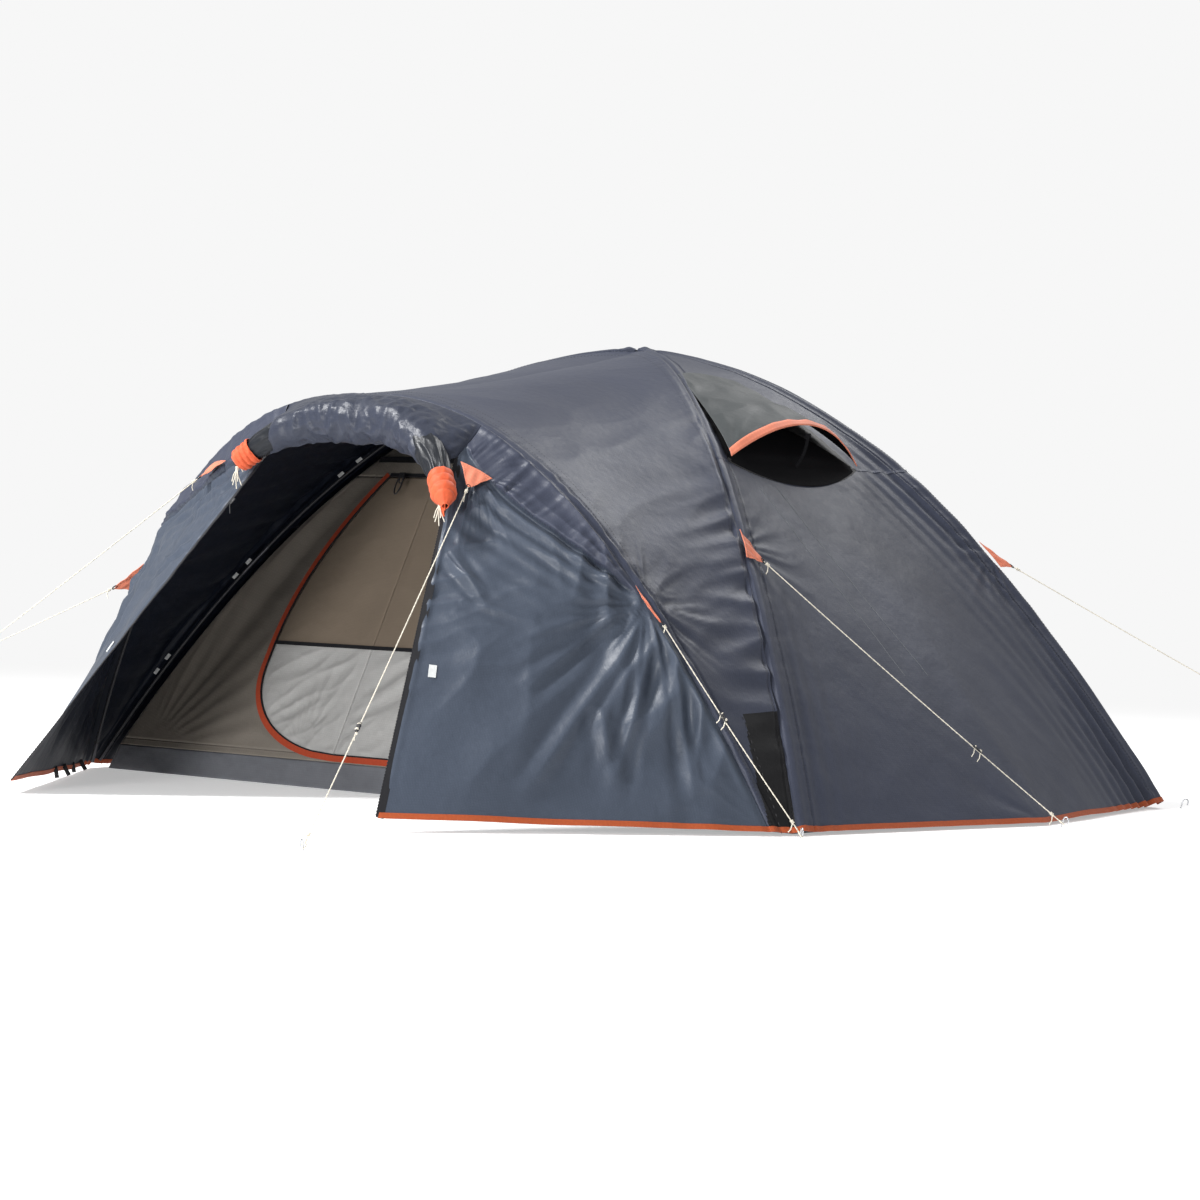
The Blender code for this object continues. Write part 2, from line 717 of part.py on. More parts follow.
def build_inner_door():
    """Three strips in a row, each carried by the fold line on its hinge side."""
    wall = door_matrix() @ Matrix.Translation((0, 0, -FABRIC / 2))
    width = (DOOR_HINGE_X - DOOR_FREE_X) / len(DOOR_STRIPS)
    for index, name in enumerate(DOOR_STRIPS):
        hinge_x = DOOR_HINGE_X - width * index
        reaches_free_edge = index == len(DOOR_STRIPS) - 1
        low_x = DOOR_FREE_X if reaches_free_edge else hinge_x - width + DOOR_FOLD_GAP
        whole = door_outline(low_x, hinge_x - DOOR_FOLD_GAP, DOOR_EDGE_GAP)
        outline = [(x - hinge_x, y) for x, y in whole]
        fold = wall @ Matrix.Translation((hinge_x, 0, 0))
        strip = plate(name, outline, FABRIC, fold, "door_fabric")
        carry_on_joint("fold_of_" + name, fold, strip)


def inner_row(reach):
    spots = steps_between(-1, 1, PANEL_COLUMNS + 1)
    right = [side_wall(1, reach, spot, INNER_INSET, 0) for spot in spots]
    back = [back_wall(reach, spot, INNER_INSET, 0) for spot in spots]
    left = [side_wall(-1, reach, spot, INNER_INSET, 0) for spot in reversed(spots)]
    front_spots = [-1, -0.97, -0.92, -0.88, -0.5, 0, 0.5, 0.88, 0.92, 0.97, 1]
    front = [inner_front(reach, spot) for spot in front_spots]
    return right + back[1:] + left[1:] + front[1:]


def build_inner_canopy():
    low = reach_at(TUB_HEIGHT + 0.002, INNER_INSET)
    seam = reach_at(SEAM_HEIGHT, INNER_INSET)
    reaches = steps_between(TOP_RING, seam, 5) + steps_between(seam, low, 9)[1:]
    canopy = sheet("inner_canopy", [inner_row(r) for r in reaches], "inner_fabric",
                   tip=Vector((0, 0, HEIGHT - INNER_INSET)))
    opening = door_outline(DOOR_FREE_X, DOOR_HINGE_X, 0)
    cut(canopy, cutter("inner_doorway_cut", opening, CUT_DEPTH / 2, door_matrix()))


def build_tub():
    """Waterproof floor with a raised rim, resting flat on the ground."""
    reach = reach_at(TUB_HEIGHT, INNER_INSET)
    rim = leg(1, 1, reach, INNER_INSET)
    foot_x = HALF_WIDTH - INNER_INSET * 0.8
    foot_y = HALF_DEPTH - INNER_INSET * 0.8
    mesh = bpy.data.meshes.new("bathtub_floor")
    tub = bmesh.new()
    corners = ((1, 1), (-1, 1), (-1, -1), (1, -1))
    floor = [tub.verts.new((sx * foot_x, sy * foot_y, 0)) for sx, sy in corners]
    top = [tub.verts.new((sx * rim.x, sy * rim.y, TUB_HEIGHT)) for sx, sy in corners]
    tub.faces.new(list(reversed(floor)))
    for index in range(4):
        after = (index + 1) % 4
        tub.faces.new((floor[index], floor[after], top[after], top[index]))
    tub.to_mesh(mesh)
    tub.free()
    thicken(add_object("bathtub_floor", mesh, "tub_fabric"))


def build_hook():
    """Open wire hook that hangs in front of the door's top edge."""
    frame = door_matrix()
    points = [Vector((0, 0, 0))]
    for turn in steps_between(pi / 2, pi * 9 / 4, 9):
        points.append(Vector((HOOK_HALF_WIDTH * cos(turn), 0, HOOK_HALF_HEIGHT * sin(turn) - HOOK_DROP)))
    hook = tube("hanging_hook", points, HOOK_WIRE_RADIUS, "black_plastic")
    hook.location = frame @ Vector((HOOK_X, slope_length(DOOR_TOP) - 0.01, HOOK_STANDOFF))


def main():
    start_scene()
    build_poles()
    build_dome_fly()
    build_porch_roof()
    build_front_panels()
    build_rolled_door()
    build_zip_sliders()
    build_vents()
    build_guylines()
    build_pegs()
    build_tub()
    build_inner_canopy()
    build_inner_door()
    build_hook()


main()
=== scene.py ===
import json
from functools import partial
from math import acos, atan2, cos, exp, pi, radians, sin, sqrt, tan

import bmesh
import bpy
import numpy as np
from mathutils import Matrix, Vector, noise

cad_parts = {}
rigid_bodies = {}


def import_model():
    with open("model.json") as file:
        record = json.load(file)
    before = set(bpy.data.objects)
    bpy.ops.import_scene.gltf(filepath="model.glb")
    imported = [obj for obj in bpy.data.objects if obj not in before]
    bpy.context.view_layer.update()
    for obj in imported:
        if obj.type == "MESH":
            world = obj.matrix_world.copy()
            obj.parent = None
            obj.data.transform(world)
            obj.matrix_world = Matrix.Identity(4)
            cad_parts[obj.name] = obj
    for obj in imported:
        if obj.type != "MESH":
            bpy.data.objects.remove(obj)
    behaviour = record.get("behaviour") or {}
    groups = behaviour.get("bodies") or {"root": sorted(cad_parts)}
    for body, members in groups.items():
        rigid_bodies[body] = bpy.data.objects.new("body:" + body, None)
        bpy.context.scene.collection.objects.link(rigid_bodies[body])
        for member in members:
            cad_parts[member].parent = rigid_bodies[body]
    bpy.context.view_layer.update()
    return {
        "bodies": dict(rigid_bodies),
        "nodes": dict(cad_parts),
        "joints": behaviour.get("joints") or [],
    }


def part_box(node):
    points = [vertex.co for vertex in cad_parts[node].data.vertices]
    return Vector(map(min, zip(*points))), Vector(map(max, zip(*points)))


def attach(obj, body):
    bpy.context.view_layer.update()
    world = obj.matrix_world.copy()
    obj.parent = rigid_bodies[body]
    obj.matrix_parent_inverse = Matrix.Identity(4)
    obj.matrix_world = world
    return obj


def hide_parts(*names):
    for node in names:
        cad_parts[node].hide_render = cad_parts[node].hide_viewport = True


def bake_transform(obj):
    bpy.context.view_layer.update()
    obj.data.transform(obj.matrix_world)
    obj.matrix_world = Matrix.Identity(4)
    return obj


# Visual model of the dome tent. The porch and its door face -Y, the sides are named from the front, and
# every surface is a formula of the driving dimensions below, pushed outwards by folds and creases.

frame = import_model()

# Driving dimensions of the tent, in metres and radians, the same as the CAD's where it has them
HEIGHT = 1.30
HALF_WIDTH = 1.283
HALF_DEPTH = 0.946
HEM_HEIGHT = 0.012
SIDE_FLARE = 0.17
BACK_FLARE = 0.08
PANEL_DIP = 0.03             # hollow of the walls between the poles
PORCH_HALF_WIDTH = 1.243
PORCH_HEIGHT = 1.10
PORCH_FOOT_GAP = 0.059
PORCH_LEAN = radians(11.06)
PORCH_ROUNDNESS = 2.37       # exponent of the arch: 2 is a parabola, more is squarer
ROOF_SAG = 0.025
ZIP_TOP_X = {1: 0.42, -1: 0.26}   # by side: the left zip starts nearer the middle
ZIP_TOP_Y = -1.30
ZIP_TOP_HEIGHT = 0.93
ZIP_FOOT = Vector((0.654, -1.824, 0.035))
ROLL_RADIUS = 0.052
ROLL_END_RADIUS = 0.030
ROLL_MIDDLE = 0.10           # the roll is off centre, between the two zip tops
ROLL_HALF_LENGTH = 0.40
TIE_PLACE = 0.93
INNER_INSET = 0.050
TUB_HEIGHT = 0.075
SEAM_HEIGHT = 0.95
DOOR_TOP = 0.90
DOOR_BOTTOM = 0.095
DOOR_SEAM = 0.40             # mesh above, nylon below
DOOR_HINGE_X = 0.40
DOOR_FREE_X = -0.74
DOOR_STRIPS = ("inner_door_hinge_side", "inner_door_middle", "inner_door_free_side")
DOOR_FOLD_GAP = 0.00035
DOOR_ZIP_GAP = 0.0022
VENT_HEIGHT = 0.965
VENT_MIDDLE = -0.09
VENT_HALF_WIDTH = 0.33
VENT_SILL_DEPTH = 0.075
VENT_TOP_RISE = 0.05
HOOD_DEPTH = 0.11
HOOD_OPEN_ANGLE = radians(115)
HOOD_LIFT = 0.012
HOOD_TAPE_WIDTH = 0.026
HOOD_SHADE_NET_REACH = 0.15           # black net carried up the slope from the window under the hood, as painted shade
POLE_RADIUS = 0.0045
POLE_INSET = 0.022
POLE_CROSSING = 0.013
POLE_SECTIONS = 7
CORD_RADIUS = 0.0015
TAB_LENGTH = 0.07
PEG_GRIP = 0.012             # height on a peg where its guyline holds
PEG_DEPTH = 0.17
PEG_NECK = 0.022
PEG_HOOK = 0.008
FRONT_TAB = {1: (0.11, 0.45), -1: (0.25, 0.75)}   # by side: shares down and outward on a front panel
PORCH_TAB_SPOT = 0.735
PUCKER_END = 0.6             # share down a front panel where its gathered seam meets the porch arch
LEG_TAB_REACH = 0.665
CORNER_PEG = (1.33, 1.00)
RUNNER_SHARE = {"front": 0.70, "porch": 0.45, "middle": 0.72, "back": 0.60}

CLOTH = 0.0008               # fabric thickness
FOOT_SHADE_HEIGHT = 0.30     # black faces at the feet of the porch roof, painted shade
SLEEVE_WIDTH = 0.062         # pole sleeve beside each main pole seam
BACKDROP = 0.93              # brightness of the surroundings, as the camera sees them
SURROUNDING_LIGHT = 0.44
FLOOR_FADE = (3.0, 9.0)      # distances between which the floor turns into the surroundings
FLOOR_SHADE = 0.80
FLOOR_GLOW = 0.40
CAMERA_PLACE = (5.992, -7.846, 0.687)
CAMERA_FORWARD = (-0.6136, 0.7895, -0.0132)
CAMERA_RIGHT = (0.7888, 0.6136, 0.0356)
CAMERA_LENS = 99.44
TENT_MIDDLE = np.array((0.0, -0.2, 0.3))
INNER_MIDDLE = np.array((0.0, 0.2, 0.3))
SIDES = {"right": 1, "left": -1}


# Materials

def new_material(name):
    """A material with its node tree and shader."""
    made = bpy.data.materials.new(name)
    made.use_nodes = True
    tree = made.node_tree
    shader = tree.nodes["Principled BSDF"]
    return made, tree, shader


def noise_node(tree, vector, scale, detail=3.0, roughness=0.55):
    made = tree.nodes.new("ShaderNodeTexNoise")
    made.inputs["Scale"].default_value = scale
    made.inputs["Detail"].default_value = detail
    made.inputs["Roughness"].default_value = roughness
    tree.links.new(vector, made.inputs["Vector"])
    return made.outputs["Fac"]


def wave_node(tree, vector, direction, threads):
    """Threads per metre running one way."""
    made = tree.nodes.new("ShaderNodeTexWave")
    made.bands_direction = direction
    made.inputs["Scale"].default_value = threads / 20
    made.inputs["Distortion"].default_value = 0.6
    made.inputs["Detail"].default_value = 1.0
    tree.links.new(vector, made.inputs["Vector"])
    return made.outputs["Fac"]


def math_node(tree, operation, first, second):
    made = tree.nodes.new("ShaderNodeMath")
    made.operation = operation
    for socket, value in zip(made.inputs, (first, second)):
        if isinstance(value, (int, float)):
            socket.default_value = value
        else:
            tree.links.new(value, socket)
    return made.outputs["Value"]


def spread_node(tree, value, low, high):
    """Maps 0..1 to low..high."""
    made = tree.nodes.new("ShaderNodeMapRange")
    made.inputs["To Min"].default_value = low
    made.inputs["To Max"].default_value = high
    tree.links.new(value, made.inputs["Value"])
    return made.outputs["Result"]


def tint_node(tree, colour, factor):
    """Colour made lighter or darker by a factor socket."""
    made = tree.nodes.new("ShaderNodeVectorMath")
    made.operation = "SCALE"
    made.inputs[0].default_value = colour
    tree.links.new(factor, made.inputs["Scale"])
    return made.outputs["Vector"]


def bump_node(tree, height, distance, strength=1.0, after=None):
    made = tree.nodes.new("ShaderNodeBump")
    made.inputs["Strength"].default_value = strength
    made.inputs["Distance"].default_value = distance
    tree.links.new(height, made.inputs["Height"])
    if after is not None:
        tree.links.new(after, made.inputs["Normal"])
    return made.outputs["Normal"]


def fabric_material(name, colour, roughness, threads=900, weave_depth=0.00012, crumple_depth=0.0008,
                    sheen=0.15, mottling=0.16, crease_shading=0.25, see_through=0.0, gloss=0.25):
    """Woven fabric: crossed threads, mottled colour, crumpled surface, ridges lightened as painted highlight
    and hollows darkened as painted shade.
    """
    made, tree, shader = new_material(name)
    place = tree.nodes.new("ShaderNodeTexCoord").outputs["Object"]
    flat = tree.nodes.new("ShaderNodeUVMap").outputs["UV"]
    warp, weft = (wave_node(tree, flat, direction, threads) for direction in ("X", "Y"))
    weave = math_node(tree, "MULTIPLY", warp, weft)
    broad = noise_node(tree, place, 3.0, 4.0)
    fine = noise_node(tree, place, 55.0, 5.0, 0.6)
    ridges = tree.nodes.new("ShaderNodeNewGeometry").outputs["Pointiness"]
    # Painted light from pointiness: ridges lighter as painted highlight, hollows darker as painted shade
    painted_crease_shading = math_node(tree, "MULTIPLY", math_node(tree, "SUBTRACT", ridges, 0.5), 6.0 * crease_shading)
    shade = math_node(tree, "ADD", spread_node(tree, broad, 1 - mottling, 1 + mottling), painted_crease_shading)
    shade = math_node(tree, "ADD", shade, spread_node(tree, fine, -mottling / 2, mottling / 2))
    shade = math_node(tree, "ADD", shade, spread_node(tree, weave, -0.05, 0.05))
    tree.links.new(tint_node(tree, colour, shade), shader.inputs["Base Color"])
    tree.links.new(spread_node(tree, fine, roughness - 0.08, roughness + 0.08), shader.inputs["Roughness"])
    shader.inputs["Specular IOR Level"].default_value = gloss
    shader.inputs["Sheen Weight"].default_value = sheen
    shader.inputs["Sheen Roughness"].default_value = 0.4
    crumpled = bump_node(tree, noise_node(tree, place, 38.0, 4.0), crumple_depth)
    woven = bump_node(tree, weave, weave_depth, 0.6, after=crumpled)
    tree.links.new(woven, shader.inputs["Normal"])
    if see_through > 0:
        open_holes(tree, shader, spread_node(tree, weave, see_through * 1.5, see_through * 0.5))
    return made


def open_holes(tree, shader, holes):
    """Lets light through a net: holes is a socket with the share that is open."""
    clear = tree.nodes.new("ShaderNodeBsdfTransparent")
    mix = tree.nodes.new("ShaderNodeMixShader")
    tree.links.new(holes, mix.inputs["Fac"])
    tree.links.new(shader.outputs["BSDF"], mix.inputs[1])
    tree.links.new(clear.outputs["BSDF"], mix.inputs[2])
    tree.links.new(mix.outputs["Shader"], tree.nodes["Material Output"].inputs["Surface"])


def cord_material(name, colour):
    """Braided cord: slanted strands and slight soiling."""
    made, tree, shader = new_material(name)
    place = tree.nodes.new("ShaderNodeTexCoord").outputs["Object"]
    strands = noise_node(tree, place, 900.0, 2.0)
    soil = noise_node(tree, place, 9.0, 4.0)
    soiled = spread_node(tree, soil, 0.75, 1.12)
    shade = math_node(tree, "ADD", soiled, spread_node(tree, strands, -0.15, 0.15))
    tree.links.new(tint_node(tree, colour, shade), shader.inputs["Base Color"])
    shader.inputs["Roughness"].default_value = 0.75
    tree.links.new(bump_node(tree, strands, 0.0004), shader.inputs["Normal"])
    return made


def hard_material(name, colour, roughness, metallic=0.0):
    """Moulded plastic, fibreglass or metal with a fine grain and rubbed patches."""
    made, tree, shader = new_material(name)
    place = tree.nodes.new("ShaderNodeTexCoord").outputs["Object"]
    grain = noise_node(tree, place, 400.0, 3.0)
    rubbed = noise_node(tree, place, 25.0, 5.0, 0.65)
    tree.links.new(tint_node(tree, colour, spread_node(tree, rubbed, 0.75, 1.3)), shader.inputs["Base Color"])
    tree.links.new(spread_node(tree, rubbed, roughness + 0.15, roughness - 0.09), shader.inputs["Roughness"])
    shader.inputs["Metallic"].default_value = metallic
    tree.links.new(bump_node(tree, grain, 0.0002, 0.5), shader.inputs["Normal"])
    return made


FLY = fabric_material("fly_outer", (0.040, 0.046, 0.070), 0.47, crumple_depth=0.0012, sheen=0.03)
HEADER = fabric_material("fly_header", (0.030, 0.035, 0.053), 0.40, crumple_depth=0.0030, sheen=0.03,
                         crease_shading=0.4)
# Front panels: a lighter copy of the fly's colour, as painted light where the key light falls on them
FLY_PANEL_LIT = fabric_material("fly_front_outer", (0.050, 0.062, 0.086), 0.42, crumple_depth=0.0016, sheen=0.03)
# Inner side of the fly: the fly's fabric made far darker, as painted shade
FLY_INSIDE_SHADED = fabric_material("fly_inner_shaded", (0.008, 0.011, 0.020), 0.5, crumple_depth=0.0016, sheen=0.0,
                             gloss=0.2)
FLY_HOOD = fabric_material("fly_hood", (0.058, 0.064, 0.066), 0.48, crumple_depth=0.0014, sheen=0.03)
# Black used only where there is shade: painted shade at the porch roof's feet and under the vent hoods
PAINTED_SHADE_BLACK = fabric_material("fly_painted_shade", (0.006, 0.006, 0.007), 0.5, crumple_depth=0.0010, sheen=0.02)
# Rolled fly door: the fly's fabric made far darker, as painted shade under the header
ROLL_SHADED = fabric_material("fly_roll_shaded", (0.012, 0.014, 0.018), 0.38, crumple_depth=0.0020, sheen=0.03, crease_shading=0.5)
CORAL = fabric_material("coral", (0.60, 0.10, 0.038), 0.6, threads=500, crumple_depth=0.0006, sheen=0.1)
CORAL_LIGHT = fabric_material("coral_tab", (0.64, 0.20, 0.12), 0.65, threads=500, crumple_depth=0.0006,
                              sheen=0.1)
HEM_TAPE = fabric_material("hem_tape", (0.30, 0.060, 0.018), 0.7, threads=420, sheen=0.05)
ZIP_TAPE = fabric_material("zip_tape", (0.34, 0.050, 0.020), 0.7, threads=420, sheen=0.05)
BLACK_TAPE = fabric_material("black_tape", (0.010, 0.010, 0.012), 0.6, threads=420, sheen=0.1)
INNER = fabric_material("inner_fabric", (0.195, 0.172, 0.146), 0.75, threads=700, crumple_depth=0.0016,
                        sheen=0.1)
DOOR_MESH = fabric_material("door_mesh", (0.190, 0.150, 0.112), 0.85, threads=1400, weave_depth=0.00004,
                            crumple_depth=0.0012, sheen=0.0, mottling=0.12, see_through=0.05)
DOOR_NYLON = fabric_material("door_nylon", (0.41, 0.405, 0.395), 0.40, crumple_depth=0.0020, sheen=0.1)
VENT_NET = fabric_material("vent_net", (0.006, 0.006, 0.007), 0.8, threads=1400, weave_depth=0.00004,
                           sheen=0.0, gloss=0.05)
TUB = fabric_material("tub_fabric", (0.130, 0.135, 0.150), 0.5, crumple_depth=0.0016, mottling=0.25)
HOOK_TAPE = fabric_material("white_tape", (0.45, 0.46, 0.46), 0.9, threads=350, sheen=0.2)
CORD = cord_material("cord", (0.74, 0.69, 0.58))
THREAD = cord_material("thread_black", (0.02, 0.02, 0.022))
PALE_THREAD = cord_material("thread_grey", (0.13, 0.14, 0.155))
PLASTIC = hard_material("black_plastic", (0.018, 0.018, 0.020), 0.42)
FIBREGLASS = hard_material("fibreglass", (0.03, 0.03, 0.034), 0.32)
STEEL = hard_material("steel", (0.52, 0.53, 0.55), 0.32, metallic=1.0)
FERRULE = hard_material("ferrule", (0.10, 0.10, 0.11), 0.45, metallic=1.0)
FLY_MATERIALS = [FLY, FLY_INSIDE_SHADED, PAINTED_SHADE_BLACK, FLY_INSIDE_SHADED]


# Mesh helpers

def smooth_step(low, high, value):
    share = min(1.0, max(0.0, (value - low) / (high - low)))
    return share * share * (3 - 2 * share)


def unit(vectors):
    lengths = np.linalg.norm(vectors, axis=-1, keepdims=True)
    return vectors / np.maximum(lengths, 1e-9)


def evenly(low, high, count):
    return [low + (high - low) * index / (count - 1) for index in range(count)]


def crowded(share, amount=0.12):
    """Moves shares of 0..1 towards both ends, where seams need a finer grid."""
    return share - amount * sin(2 * pi * share)


def grid_faces(rows, columns, start=0):
    index = np.arange(rows * columns).reshape(rows, columns) + start
    corners = (index[:-1, :-1], index[1:, :-1], index[1:, 1:], index[:-1, 1:])
    return np.stack([corner.ravel() for corner in corners], axis=1)


def grid_lengths(places):
    """Metric fabric coordinates of a grid, for its weave."""
    rows, columns = places.shape[:2]
    across = np.linalg.norm(np.diff(places, axis=1), axis=2)
    along = np.linalg.norm(np.diff(places, axis=0), axis=2)
    u = np.concatenate([np.zeros((rows, 1)), np.cumsum(across, axis=1)], axis=1)
    u -= u[:, columns // 2:columns // 2 + 1]
    v = np.concatenate([np.zeros((1, columns)), np.cumsum(along, axis=0)], axis=0)
    return np.stack([u, v], axis=2)


def wrinkled(surface, columns, rows, wrinkle, edges=0.12, middle=TENT_MIDDLE):
    """Grid of places on surface(u, v), pushed outwards by wrinkle(place, u, v), and its outward normals."""
    across = [crowded(share, edges) for share in evenly(0, 1, columns)]
    along = evenly(0, 1, rows)
    flat = np.array([[surface(u, v) for u in across] for v in along])
    normals = unit(np.cross(np.gradient(flat, axis=0), np.gradient(flat, axis=1)))
    if np.sum(normals * (flat - middle)) < 0:
        normals = -normals
    heights = [[wrinkle(Vector(place), u, v) for u, place in zip(across, row)] for v, row in zip(along, flat)]
    return flat + normals * np.array(heights)[..., None], normals


def new_object(name, data):
    """An object of the scene round a mesh, light or camera."""
    made = bpy.data.objects.new(name, data)
    bpy.context.scene.collection.objects.link(made)
    return made


def new_piece(name, mesh, body, replaced):
    """Smooth visible piece that rides on a body, and hides the CAD node that it replaces."""
    made = new_object(name, mesh)
    for polygon in mesh.polygons:
        polygon.use_smooth = True
    if body is not None:
        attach(made, body)
    if replaced is not None:
        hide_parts(replaced)
    return made


def fabric(name, grids, materials, body="root", replaced=None, thickness=CLOTH,
           middle=TENT_MIDDLE, lined=True):
    """Fabric piece from grids, each (places, material index). Lined: inner faces take the next material."""
    places, faces, lengths, kinds = [], [], [], []
    for grid, kind in grids:
        rows, columns = grid.shape[:2]
        new_faces = grid_faces(rows, columns, sum(len(part) for part in places))
        row, column = rows // 2, columns // 2
        first = grid[row, column]
        normal = np.cross(grid[row + 1, column] - first, grid[row, column + 1] - first)
        if np.dot(normal, first - middle) < 0:
            new_faces = new_faces[:, ::-1]
        places.append(grid.reshape(-1, 3))
        faces.append(new_faces)
        lengths.append(grid_lengths(grid).reshape(-1, 2))
        kinds += [kind] * len(new_faces) if isinstance(kind, int) else kind
    mesh = bpy.data.meshes.new(name)
    mesh.from_pydata(np.concatenate(places).tolist(), [], np.concatenate(faces).tolist())
    layer = mesh.uv_layers.new(name="fabric")
    corner_vertices = np.zeros(len(mesh.loops), int)
    mesh.loops.foreach_get("vertex_index", corner_vertices)
    layer.data.foreach_set("uv", np.concatenate(lengths)[corner_vertices].astype(np.float32).ravel())
    mesh.polygons.foreach_set("material_index", kinds)
    for material in materials:
        mesh.materials.append(material)
    weld(mesh)
    made = new_piece(name, mesh, body, replaced)
    solid = made.modifiers.new("thickness", "SOLIDIFY")
    solid.thickness = thickness
    solid.offset = -1
    solid.material_offset = 1 if lined and len(materials) > 1 else 0
    return made


def weld(mesh, distance=0.00008):
    """Joins the grids of a mesh where their edges meet."""
    joined = bmesh.new()
    joined.from_mesh(mesh)
    bmesh.ops.remove_doubles(joined, verts=joined.verts, dist=distance)
    bmesh.ops.dissolve_degenerate(joined, edges=joined.edges, dist=distance / 10)
    joined.to_mesh(mesh)
    joined.free()


def ring_faces(rings, sides, closed=False):
    """Faces round a row of rings of points: joined in a loop, or capped at both ends."""
    faces = []
    for ring in range(rings if closed else rings - 1):
        start = ring * sides
        after = (ring + 1) % rings * sides
        for step in range(sides):
            turn = (step + 1) % sides
            faces.append([start + step, start + turn, after + turn, after + step])
    if not closed:
        faces.append(list(reversed(range(sides))))
        faces.append([(rings - 1) * sides + step for step in range(sides)])
    return faces


def directions(path, closed=False):
    """Unit vectors along a path."""
    if closed:
        return unit(np.roll(path, -1, axis=0) - np.roll(path, 1, axis=0))
    return unit(np.gradient(path, axis=0))


def path_frames(path, ups, closed=False):
    """Unit side vectors of a path, at right angles to it and to its up vectors."""
    return unit(np.cross(directions(np.array(path, float), closed), np.array(ups, float)))


def tube(path, radius, sides=10, closed=False):
    """Closed round tube along a path. radius is a number or a function of (share along, angle)."""
    path = np.array(path, float)
    tangents = directions(path, closed)
    side = Vector(tangents[0]).orthogonal().normalized()
    places = []
    for index, centre in enumerate(path):
        tangent = Vector(tangents[index])
        side = (side - tangent * side.dot(tangent)).normalized()
        other = tangent.cross(side)
        for step in range(sides):
            angle = 2 * pi * step / sides
            reach = radius(index / (len(path) - 1), angle) if callable(radius) else radius
            places.append(tuple(Vector(centre) + (side * cos(angle) + other * sin(angle)) * reach))
    return places, ring_faces(len(path), sides, closed)


def sweep(path, sides, ups, profile, closed=False):
    """Closed bar along a path: profile is a loop of (towards side, towards up)."""
    path = np.array(path, float)
    sides, ups = (np.broadcast_to(np.array(part, float), path.shape) for part in (sides, ups))
    places = []
    for place, side, up in zip(path, sides, ups):
        places += [tuple(place + side * a + up * b) for a, b in profile]
    return places, ring_faces(len(path), len(profile), closed)


def tapered_bar(path, widths, side, up, outline, height):
    """Closed bar of changing width: outline is a loop of (towards side, towards up), from -1 to 1."""
    places = []
    for centre, width in zip(path, widths):
        places += [tuple(centre + side * a * width + up * b * height) for a, b in outline]
    return places, ring_faces(len(path), len(outline))


def ribbon(path, ups, width, thickness, lift=0.0):
    """Flat tape along a path: ups are the normals of the surface under it, or one normal for all."""
    half = width / 2
    high = lift + thickness
    profile = [(-half, lift), (half, lift), (half * 0.97, high), (-half * 0.97, high)]
    return sweep(path, path_frames(path, ups), ups, profile)


def solid_piece(name, parts, material, body="root", replaced=None):
    """One piece from closed (places, faces) parts."""
    places, faces = [], []
    for part_places, part_faces in parts:
        start = len(places)
        places += part_places
        faces += [[index + start for index in face] for face in part_faces]
    mesh = bpy.data.meshes.new(name)
    mesh.from_pydata(places, [], faces)
    mesh.materials.append(material)
    shape = bmesh.new()
    shape.from_mesh(mesh)
    bmesh.ops.recalc_face_normals(shape, faces=shape.faces)
    shape.to_mesh(mesh)
    shape.free()
    layer = mesh.uv_layers.new(name="fabric")
    for loop in mesh.loops:
        place = mesh.vertices[loop.vertex_index].co
        layer.data[loop.index].uv = (place.x + place.y, place.z + 0.7 * place.y)
    new_piece(name, mesh, body, replaced)
    mesh.set_sharp_from_angle(angle=radians(50))


def resampled(path, spacing):
    """Points along a path at an even spacing."""
    path = np.array(path, float)
    lengths = np.concatenate([[0], np.cumsum(np.linalg.norm(np.diff(path, axis=0), axis=1))])
    count = max(2, int(lengths[-1] / spacing))
    marks = np.linspace(0, lengths[-1], count)
    return np.stack([np.interp(marks, lengths, path[:, axis]) for axis in range(3)], axis=1)


def stitches(path, ups, length=0.0045, gap=0.003, width=0.0009, lift=0.0006, offset=0.0):
    """Row of raised stitches along a path on a surface."""
    spots = resampled(path, length + gap)
    normals = [ups[int(index * (len(ups) - 1) / max(1, len(spots) - 1))] for index in range(len(spots))]
    normals = np.array(normals, float)
    sides = path_frames(spots, normals)
    parts = []
    for place, normal, side in zip(spots, normals, sides):
        forward = np.cross(normal, side) * length / 2
        centre = place + normal * lift + side * offset
        ring = [side * width / 2, normal * width / 2, -side * width / 2, -normal * width / 2]
        middle = [tuple(centre + corner) for corner in ring]
        ends = [tuple(centre - forward - normal * lift), tuple(centre + forward - normal * lift)]
        faces = [[4, (step + 1) % 4, step] for step in range(4)]
        faces += [[5, step, (step + 1) % 4] for step in range(4)]
        parts.append((middle + ends, faces))
    return parts


# Tent surfaces, the same as the CAD's

def leg(x_sign, y_sign, reach, inset=0.0, drop=0.0):
    """Point on a main arch: reach is 0 at the top and 1 at the foot."""
    span = sqrt(HALF_WIDTH ** 2 + HALF_DEPTH ** 2)
    shrink = 1 - inset / span
    rise = HEIGHT - inset - drop - HEM_HEIGHT
    return Vector((
        x_sign * HALF_WIDTH * shrink * reach,
        y_sign * HALF_DEPTH * shrink * reach,
        HEM_HEIGHT + rise * (1 - reach ** 2),
    ))


def reach_at(height, inset=0.0):
    return sqrt(max(0.0, 1 - (height - HEM_HEIGHT) / (HEIGHT - inset - HEM_HEIGHT)))


